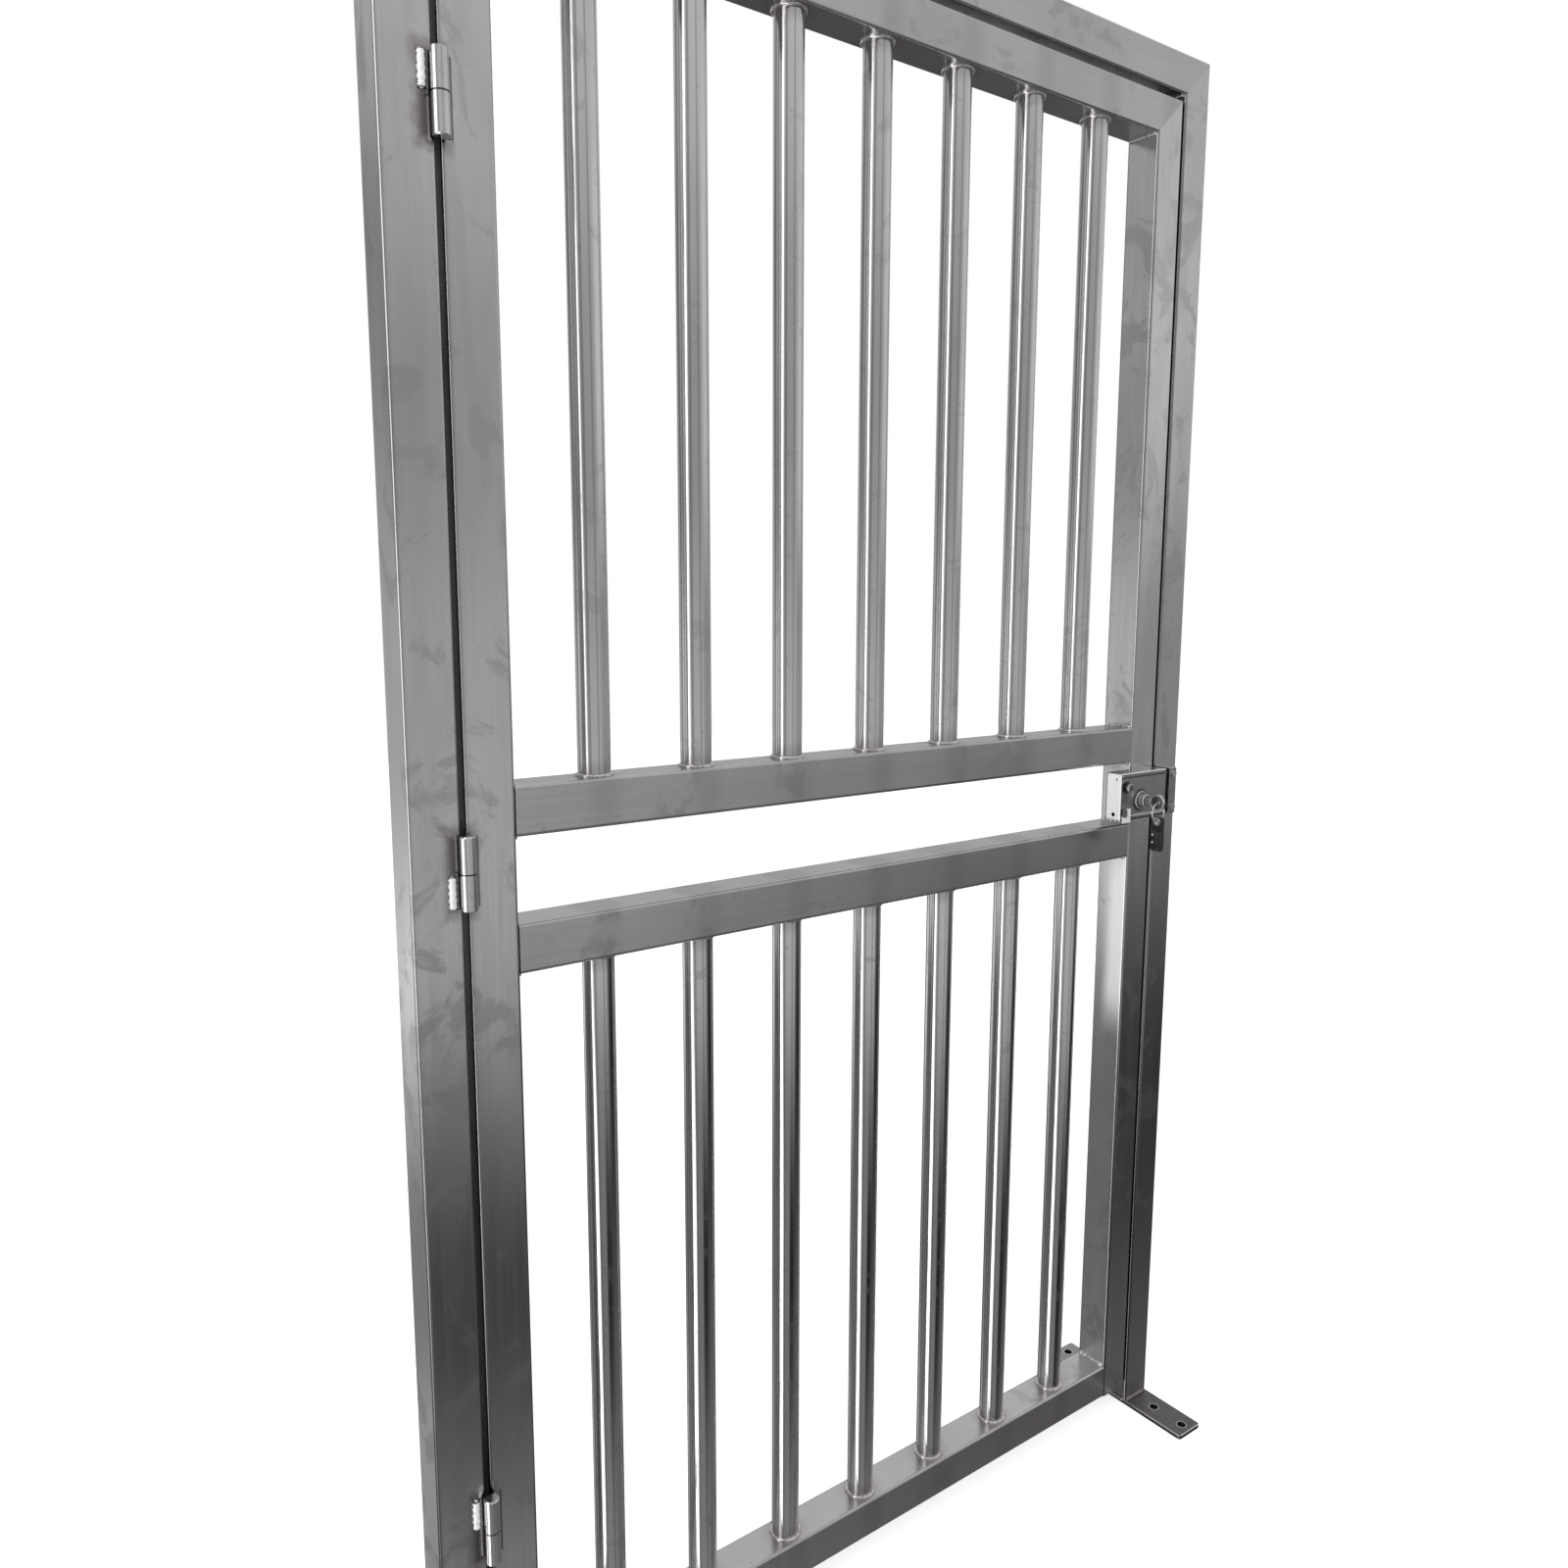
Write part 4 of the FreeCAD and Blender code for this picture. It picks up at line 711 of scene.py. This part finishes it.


# Lock: painted shade where its parts meet, painted highlights on the cylinder and across the case front,
# painted light on the case's free end
caseLow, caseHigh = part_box("lock_case")
lockFinish = {
    "axis": centreOf("cylinder_plug"),
    "rings": (       # painted highlight and shade rings round the key axis: from, to, how bright
        (0.0000, 0.0062, 0.55), (0.0062, 0.0074, 0.10), (0.0074, 0.0092, 0.95), (0.0092, 0.0110, 0.12),
        (0.0110, 0.0150, 0.90)),
    "ringSoft": 0.0003,
    "paintedShade": (0.075, 0.070, 0.075, 1.0),
    "bright": (0.86, 0.85, 0.85, 1.0),
    "sheetGrain": (40.0, 300.0, 300.0),
    "sheet": (0.52, 0.505, 0.515, 1.0),
    "mottleScale": 420.0,
    "mottle": 0.004,
}
caseFinish = {
    "frontFrom": (0.0012, 0.0018),       # in from the case's free end
    "frontDepth": (0.0020, 0.0032),
    "bands": (       # painted highlight and shade bands across the front: from, to, how bright
        (caseHigh.z - 0.0072, caseHigh.z - 0.0056, 0.07), (caseHigh.z - 0.0012, caseHigh.z + 0.001, 0.95),
        (caseLow.z + 0.0054, caseLow.z + 0.0066, 0.95), (caseLow.z - 0.001, caseLow.z + 0.0030, 0.12)),
    "bandSoft": 0.0004,
    "bandAmount": 0.85,
    "circles": (     # painted shade round the button and the cylinder
        (centreOf("hold_back_button"), 0.0078, 0.0098), (lockFinish["axis"], 0.0140, 0.0175)),
    "circleAmount": 0.9,
    "endEdge": (0.0006, 0.0012),
    "end": (0.97, 0.97, 0.97, 1.0),
    "endRoughness": 0.16,
    "bare": 0.65,
}


def bandedNickel():
    material = steel("cylinderNickel", (220.0, 220.0, 220.0), 0.2, smears=0.4, smearSize=140.0,
                     light=lockFinish["bright"])
    tree, shader, color, place = reopen(material)
    parts = split(tree, place)
    axis = lockFinish["axis"]
    across, up = calc(tree, "SUBTRACT", parts[0], axis.x), calc(tree, "SUBTRACT", parts[2], axis.z)
    radius = lengthOf(tree, across, up)
    soft = lockFinish["ringSoft"]
    # painted highlights and painted shade in rings round the key axis
    for start, finish, level in lockFinish["rings"]:
        inside = band(tree, radius, (start - soft, start + soft), (finish - soft, finish + soft))
        color = mixColors(tree, calc(tree, "MULTIPLY", inside, 1.0 - level), color, lockFinish["paintedShade"])
    tree.links.new(color, shader.inputs["Base Color"])
    return material


def darkInMiddle(name, node, roughness, middle, rim, centre, reach):
    material = steel(name, (200.0, 400.0, 200.0), roughness, smears=0.8, smearSize=90.0, light=rim)
    tree, shader, base, place = reopen(material)
    away = addNode(tree, "ShaderNodeVectorMath", {0: place, 1: centre}, operation="DISTANCE").outputs["Value"]
    mottle = noise(tree, place, lockFinish["mottleScale"], 3.0)
    uneven = calc(tree, "MULTIPLY", calc(tree, "SUBTRACT", mottle, 0.5), lockFinish["mottle"])
    # dark middle: painted shade on the key's bow and the button's face, darker round the tab's hole
    inside = fade(tree, calc(tree, "ADD", away, uneven), *reach, 0.9, 0.0)
    tree.links.new(mixColors(tree, inside, base, middle), shader.inputs["Base Color"])
    paint(material, node)
    return material


def finishCase():
    material = steel("caseSheet", lockFinish["sheetGrain"], 0.26, smears=1.1, smearSize=60.0, specks=0.6,
                     light=lockFinish["sheet"])
    tree, shader, color, place = reopen(material)
    parts = split(tree, place)
    start, finish = (caseLow.x + part for part in caseFinish["frontFrom"])
    near, far = (caseLow.y + part for part in caseFinish["frontDepth"])
    front = calc(tree, "MULTIPLY", fade(tree, parts[0], start, finish),
                 fade(tree, parts[1], near, far, 1.0, 0.0))
    shine = 0.0
    soft = caseFinish["bandSoft"]
    for low, high, level in caseFinish["bands"]:
        inside = band(tree, parts[2], (low - soft, low + soft), (high - soft, high + soft))
        amount = calc(tree, "MULTIPLY", calc(tree, "MULTIPLY", inside, front), caseFinish["bandAmount"])
        color = mixColors(tree, amount, color, (level, level * 0.97, level, 1.0))
        if level > 0.5:
            shine = calc(tree, "MAXIMUM", shine, amount)
    for centre, inner, outer in caseFinish["circles"]:
        across, up = calc(tree, "SUBTRACT", parts[0], centre.x), calc(tree, "SUBTRACT", parts[2], centre.z)
        ring = fade(tree, lengthOf(tree, across, up), inner, outer, caseFinish["circleAmount"], 0.0)
        color = mixColors(tree, calc(tree, "MULTIPLY", ring, front), color, lockFinish["paintedShade"])
    # painted light on the case's free end, less metallic there and under the painted highlights
    start, finish = (caseLow.x + part for part in caseFinish["endEdge"])
    end = fade(tree, parts[0], start, finish, 1.0, 0.0)
    tree.links.new(mixColors(tree, end, color, caseFinish["end"]), shader.inputs["Base Color"])
    rough = shader.inputs["Roughness"].links[0].from_socket
    worn = calc(tree, "ADD", rough, calc(tree, "MULTIPLY", end, caseFinish["endRoughness"]))
    tree.links.new(worn, shader.inputs["Roughness"])
    bare = calc(tree, "MULTIPLY", calc(tree, "MAXIMUM", end, shine), caseFinish["bare"])
    tree.links.new(calc(tree, "SUBTRACT", 1.0, bare), shader.inputs["Metallic"])
    paint(material, "lock_case")


# Small lock parts: painted shade in the key's bow and on the button's face, the tab dark round its hole, and
# bright round that
smallParts = {
    "tabHole": (-0.0052, 0.0, 0.0045),       # from the tab's middle
    "tabReach": (0.0060, 0.0072),
    "tabMetallic": 0.3,
    "bowFromFront": 0.0115,
    "bowReach": (0.0082, 0.0106),
    "buttonReach": (0.0022, 0.0050),
}


def finishSmallParts():
    tabHole = centreOf("lock_tab") + Vector(smallParts["tabHole"])
    tabSteel = darkInMiddle("tabSteel", "lock_tab", 0.3, (0.03, 0.03, 0.03, 1.0), (0.95, 0.95, 0.95, 1.0),
                              tabHole, smallParts["tabReach"])
    tabSteel.node_tree.nodes["Principled BSDF"].inputs["Metallic"].default_value = smallParts["tabMetallic"]
    bow = centreOf("key")
    bow.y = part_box("key")[0].y + smallParts["bowFromFront"]
    bow.z = lockFinish["axis"].z
    darkInMiddle("keyNickel", "key", 0.2, (0.10, 0.095, 0.10, 1.0), (0.86, 0.85, 0.84, 1.0),
                   bow, smallParts["bowReach"])
    face = centreOf("hold_back_button")
    face.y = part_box("hold_back_button")[0].y
    darkInMiddle("buttonNickel", "hold_back_button", 0.2, (0.16, 0.15, 0.16, 1.0), (0.55, 0.54, 0.55, 1.0),
                   face, smallParts["buttonReach"])
    lockNickel = steel("lockNickel", (200.0, 200.0, 200.0), 0.16, smears=0.5, smearSize=90.0,
                       light=(0.72, 0.71, 0.7, 1.0))
    ringSteel = steel("ringSteel", (200.0, 200.0, 200.0), 0.14, smears=0.3, smearSize=90.0,
                      light=(0.9, 0.9, 0.9, 1.0))
    paint(lockNickel, "cylinder_nut")
    paint(bandedNickel(), "cylinder_housing", "cylinder_plug")
    paint(ringSteel, "key_ring")


# Key tag: black hide, rubbed greyer in places
tagFinish = {
    "cellScale": 900.0,
    "wearScale": 90.0,
    "dark": (0.006, 0.005, 0.006, 1.0),
    "rubbed": (0.035, 0.031, 0.035, 1.0),
    "rubbedRange": (0.4, 0.7),
    "roughRange": (0.3, 0.7),
    "roughness": (0.38, 0.6),
    "relief": (0.5, 0.0003),
}


def finishTag():
    material, tree, shader = newMaterial("tagLeather")
    place = objectPlace(tree)
    cells = addNode(tree, "ShaderNodeTexVoronoi", {"Vector": place, "Scale": tagFinish["cellScale"]})
    wear = noise(tree, place, tagFinish["wearScale"], 4.0)
    rubbed = fade(tree, wear, *tagFinish["rubbedRange"])
    color = mixColors(tree, rubbed, tagFinish["dark"], tagFinish["rubbed"])
    tree.links.new(color, shader.inputs["Base Color"])
    rough = fade(tree, wear, *tagFinish["roughRange"], *tagFinish["roughness"])
    tree.links.new(rough, shader.inputs["Roughness"])
    addRelief(tree, shader, *tagFinish["relief"], cells.outputs["Distance"])
    paint(material, "key_tag")


lockSheet = steel("lockSheet", lockFinish["sheetGrain"], 0.26, smears=1.1, smearSize=60.0, specks=0.6,
                  light=lockFinish["sheet"])
eyeletNickel = steel("eyeletNickel", (300.0, 300.0, 300.0), 0.2, smears=0.5, smearSize=200.0,
                     light=(0.7, 0.69, 0.68, 1.0))
paint(lockSheet, "lock_back_plate", "strike_box")
paint(eyeletNickel, "tag_eyelet")
finishCase()
finishSmallParts()
finishTag()
print("finishes on every CAD node")


# Weld beads: rings round the bar ends, straight runs in the corners
weldBead = {
    "ringWidth": 0.0027,
    "ringSteps": 64,
    "ringSides": 10,
    "ripples": 30,
    "rippleDepth": 0.14,
    "runWidth": 0.0027,
    "runSides": 12,
    "rippleLength": 0.0026,
    "rippleBow": 0.35,
    "sink": 0.25,                # share of the width that the bead's core stands off its corner
    "fromEdge": 0.003,
    "wideRails": {"bottom_rail": 1.25},
}
weldFinish = {
    "grain": (900.0, 900.0, 900.0),
    "spread": 0.25,
    "smearSize": 150.0,
    "smearReach": 0.5,
    "smearShare": 0.6,
    "relief": (0.25, 0.0004),
}


def weldMaterial(name, bright, dull, roughness, metallic=1.0):
    material, tree, shader = newMaterial(name)
    place = objectPlace(tree)
    grain = useGroup(tree, brushedGrain, {
        "Vector": stretch(tree, place, weldFinish["grain"]), "Roughness": roughness,
        "Spread": weldFinish["spread"]})
    marks = useGroup(tree, handlingMarks, {
        "Vector": place, "Size": weldFinish["smearSize"], "Reach": weldFinish["smearReach"]})
    smear = calc(tree, "MULTIPLY", marks["Smear"], weldFinish["smearShare"])
    color = mixColors(tree, smear, bright, dull)
    tree.links.new(color, shader.inputs["Base Color"])
    tree.links.new(grain["Roughness"], shader.inputs["Roughness"])
    shader.inputs["Metallic"].default_value = metallic
    addRelief(tree, shader, *weldFinish["relief"], grain["Height"])
    return material


def makePiece(name, shape, body, material):
    bmesh.ops.recalc_face_normals(shape, faces=shape.faces)
    for face in shape.faces:
        face.smooth = True
    mesh = bpy.data.meshes.new(name)
    shape.to_mesh(mesh)
    shape.free()
    mesh.materials.append(material)
    piece = bpy.data.objects.new(name, mesh)
    scene.collection.objects.link(piece)
    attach(piece, body)


def appendShape(shape, part):
    scrap = bpy.data.meshes.new("scrap")
    part.to_mesh(scrap)
    part.free()
    shape.from_mesh(scrap)
    bpy.data.meshes.remove(scrap)


def addWeldRing(shape, centre, radius, up):
    width = weldBead["ringWidth"]
    reach, lift = radius + weldBead["sink"] * width, up * weldBead["sink"] * width
    part = bmesh.new()
    turned = Matrix.Translation((reach, 0.0, lift)) @ Matrix.Rotation(math.pi / 2, 4, "X")
    bmesh.ops.create_circle(part, segments=weldBead["ringSides"], radius=width, matrix=turned)
    bmesh.ops.spin(part, geom=part.verts[:] + part.edges[:], cent=(0, 0, 0), axis=(0, 0, 1),
                   angle=2 * math.pi, steps=weldBead["ringSteps"], use_merge=True)
    for vert in part.verts:
        turn = math.atan2(vert.co.y, vert.co.x)
        core = Vector((math.cos(turn), math.sin(turn), 0.0)) * reach
        core.z = lift
        ripple = 1.0 - weldBead["rippleDepth"] * abs(math.cos(turn * weldBead["ripples"] / 2))
        wander = 1.0 + 0.10 * math.sin(turn * 3 + centre.x * 40) + 0.06 * math.sin(turn * 7 + centre.z * 25)
        vert.co = core + (vert.co - core) * ripple * wander
    bmesh.ops.translate(part, verts=part.verts, vec=centre)
    appendShape(shape, part)


def addWeldRun(shape, start, finish, width):
    start, finish = Vector(start), Vector(finish)
    length = (finish - start).length
    ripple = weldBead["rippleLength"]
    part = bmesh.new()
    bmesh.ops.create_cone(part, cap_ends=True, segments=weldBead["runSides"], radius1=width, radius2=width,
                          depth=length)
    sides = [edge for edge in part.edges if abs(edge.verts[0].co.z - edge.verts[1].co.z) > length / 2]
    bmesh.ops.subdivide_edges(part, edges=sides, cuts=max(8, int(length / ripple * 4)), use_grid_fill=True)
    for vert in part.verts:
        along = vert.co.z + length / 2
        bow = vert.co.x * weldBead["rippleBow"]      # each ripple bows towards the run's end
        swell = 1.0 - weldBead["rippleDepth"] * abs(math.cos(math.pi * (along + bow) / ripple))
        fromEnd = min(along, length - along)
        cap = math.sqrt(max(0.0, 1.0 - (1.0 - min(1.0, fromEnd / width)) ** 2))
        swell *= max(cap, 0.25) * (1.0 + 0.08 * math.sin(along * 900 + start.x * 60))
        vert.co.x *= swell
        vert.co.y *= swell
    aim = (finish - start).to_track_quat("Z", "Y").to_matrix().to_4x4()
    bmesh.ops.transform(part, matrix=Matrix.Translation((start + finish) / 2) @ aim, verts=part.verts)
    appendShape(shape, part)


weldMetal = weldMaterial("weldMetal", (0.80, 0.79, 0.79, 1.0), (0.42, 0.39, 0.38, 1.0), 0.24)
# painted light: a brighter, less metallic copy of the weld metal for the hinge seams
seamLitMetal = weldMaterial("seamLitMetal", (0.98, 0.975, 0.975, 1.0), (0.66, 0.63, 0.62, 1.0), 0.42, metallic=0.35)
# painted shade: a darker copy of the weld metal for the foot welds
footWeldShadedMetal = weldMaterial("footWeldShadedMetal", (0.34, 0.32, 0.33, 1.0), (0.16, 0.15, 0.15, 1.0), 0.34)
stileLow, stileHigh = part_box("hinge_stile")
postLow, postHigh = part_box("left_post")
tubeHalf = (stileHigh.y - stileLow.y) / 2
offCorner = weldBead["sink"] * weldBead["runWidth"]


def makeBarWelds():
    low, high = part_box("upper_bar_1")
    radius = (high.x - low.x) / 2
    for rail, row, up in (("top_rail", "upper", -1), ("upper_middle_rail", "upper", 1),
                          ("lower_middle_rail", "lower", -1), ("bottom_rail", "lower", 1)):
        shape = bmesh.new()
        for index in range(1, barFinish["count"] + 1):
            low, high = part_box(f"{row}_bar_{index}")
            centre = (low + high) / 2
            centre.z = low.z if up > 0 else high.z
            addWeldRing(shape, centre, radius, up)
        makePiece(rail + "_bar_welds", shape, "leaf", weldMetal)


def addRunThrough(shape, across, height, widen=1.0):
    reach = tubeHalf - weldBead["fromEdge"]
    addWeldRun(shape, (across, -reach, height), (across, reach, height), weldBead["runWidth"] * widen)


def makeCornerWelds():
    shape = bmesh.new()
    for side in (-1, 1):
        inner = side * (abs(stileHigh.x) - offCorner)
        for rail in ("upper_middle_rail", "lower_middle_rail", "bottom_rail"):
            low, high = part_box(rail)
            widen = weldBead["wideRails"].get(rail, 1.0)
            for height in (low.z - offCorner, high.z + offCorner):
                addRunThrough(shape, inner, height, widen)
        addRunThrough(shape, inner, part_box("top_rail")[0].z - offCorner)
    makePiece("leaf_corner_welds", shape, "leaf", weldMetal)
    shape = bmesh.new()
    for side in (-1, 1):
        addRunThrough(shape, side * (abs(postHigh.x) - offCorner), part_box("header")[0].z - offCorner)
    makePiece("header_corner_welds", shape, "portal", weldMetal)


# Foot welds: how far their cores lie inside the post's outer and inner faces
footWeld = {
    "outerSink": 0.0008,
    "innerSink": 0.0004,
}


def makeFootWelds():
    shape = bmesh.new()
    foot = postLow.z + offCorner
    fromEdge = weldBead["fromEdge"]
    for side in (-1, 1):
        outer = side * (abs(postLow.x) - footWeld["outerSink"])
        inside = side * (abs(postHigh.x) - footWeld["innerSink"])
        addRunThrough(shape, inside, foot)
        for face in (-1, 1):
            depth = face * (tubeHalf + offCorner)
            left, right = sorted((outer, inside))
            addWeldRun(shape, (left + fromEdge, depth, foot), (right - fromEdge, depth, foot),
                       weldBead["runWidth"])
    makePiece("foot_welds", shape, "portal", footWeldShadedMetal)


# Hinge seams: a proud bead on each post knuckle's tube side
hingeSeam = {
    "fromAxis": 0.0135,
    "width": 0.0040,
    "lift": 0.0008,
    "shorter": 0.0015,
}


def makeHingeSeams():
    shape = bmesh.new()
    depth = -tubeHalf - hingeSeam["lift"]
    for level in ("lower", "middle", "upper"):
        low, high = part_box(f"{level}_hinge_post_knuckle")
        across = centreOf(f"{level}_hinge_pin").x - hingeSeam["fromAxis"]
        addWeldRun(shape, (across, depth, low.z + hingeSeam["shorter"]),
                   (across, depth, high.z - hingeSeam["shorter"]), hingeSeam["width"])
    makePiece("post_hinge_seams", shape, "portal", seamLitMetal)


makeBarWelds()
print("bar welds made")
makeCornerWelds()
makeFootWelds()
print("corner welds made")
makeHingeSeams()
print("hinge seams made")


# Small turned heads: studs on the tag, and a rivet on the lock case's free end
smallHeads = {
    "profile": ((0.0, 1.0), (0.35, 0.93), (0.68, 0.70), (0.90, 0.38), (1.0, 0.0), (1.0, -0.25)),
    "steps": 24,
    "tagRadius": 0.0019,
    "tagHeight": 0.0011,
    "tagFromFront": 0.0032,
    "tagFromFoot": (0.0120, 0.0225),
    "caseRadius": 0.0022,
    "caseHeight": 0.0008,
    "caseSink": 0.0003,
    "caseFromFront": 0.0085,
    "caseFromTop": 0.0085,
}


def addHead(shape, centre, radius, height):
    part = bmesh.new()
    line = [part.verts.new((across * radius, 0.0, up * height)) for across, up in smallHeads["profile"]]
    edges = [part.edges.new(pair) for pair in zip(line, line[1:])]
    bmesh.ops.spin(part, geom=line + edges, cent=(0, 0, 0), axis=(0, 0, 1), angle=2 * math.pi,
                   steps=smallHeads["steps"], use_merge=True)
    bmesh.ops.remove_doubles(part, verts=part.verts, dist=1e-6)
    rim = [edge for edge in part.edges if edge.is_boundary]
    bmesh.ops.holes_fill(part, edges=rim)
    turned = Matrix.Translation(centre) @ Matrix.Rotation(-math.pi / 2, 4, "Y")
    bmesh.ops.transform(part, matrix=turned, verts=part.verts)
    appendShape(shape, part)


def makeSmallHeads():
    low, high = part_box("key_tag")
    shape = bmesh.new()
    for rise in smallHeads["tagFromFoot"]:
        centre = Vector((low.x, high.y - smallHeads["tagFromFront"], low.z + rise))
        addHead(shape, centre, smallHeads["tagRadius"], smallHeads["tagHeight"])
    makePiece("tag_studs", shape, "tag", eyeletNickel)
    shape = bmesh.new()
    centre = Vector((caseLow.x + smallHeads["caseSink"], caseLow.y + smallHeads["caseFromFront"],
                     caseHigh.z - smallHeads["caseFromTop"]))
    addHead(shape, centre, smallHeads["caseRadius"], smallHeads["caseHeight"])
    makePiece("case_rivet", shape, "leaf", lockSheet)


makeSmallHeads()
print("rivets and studs made")
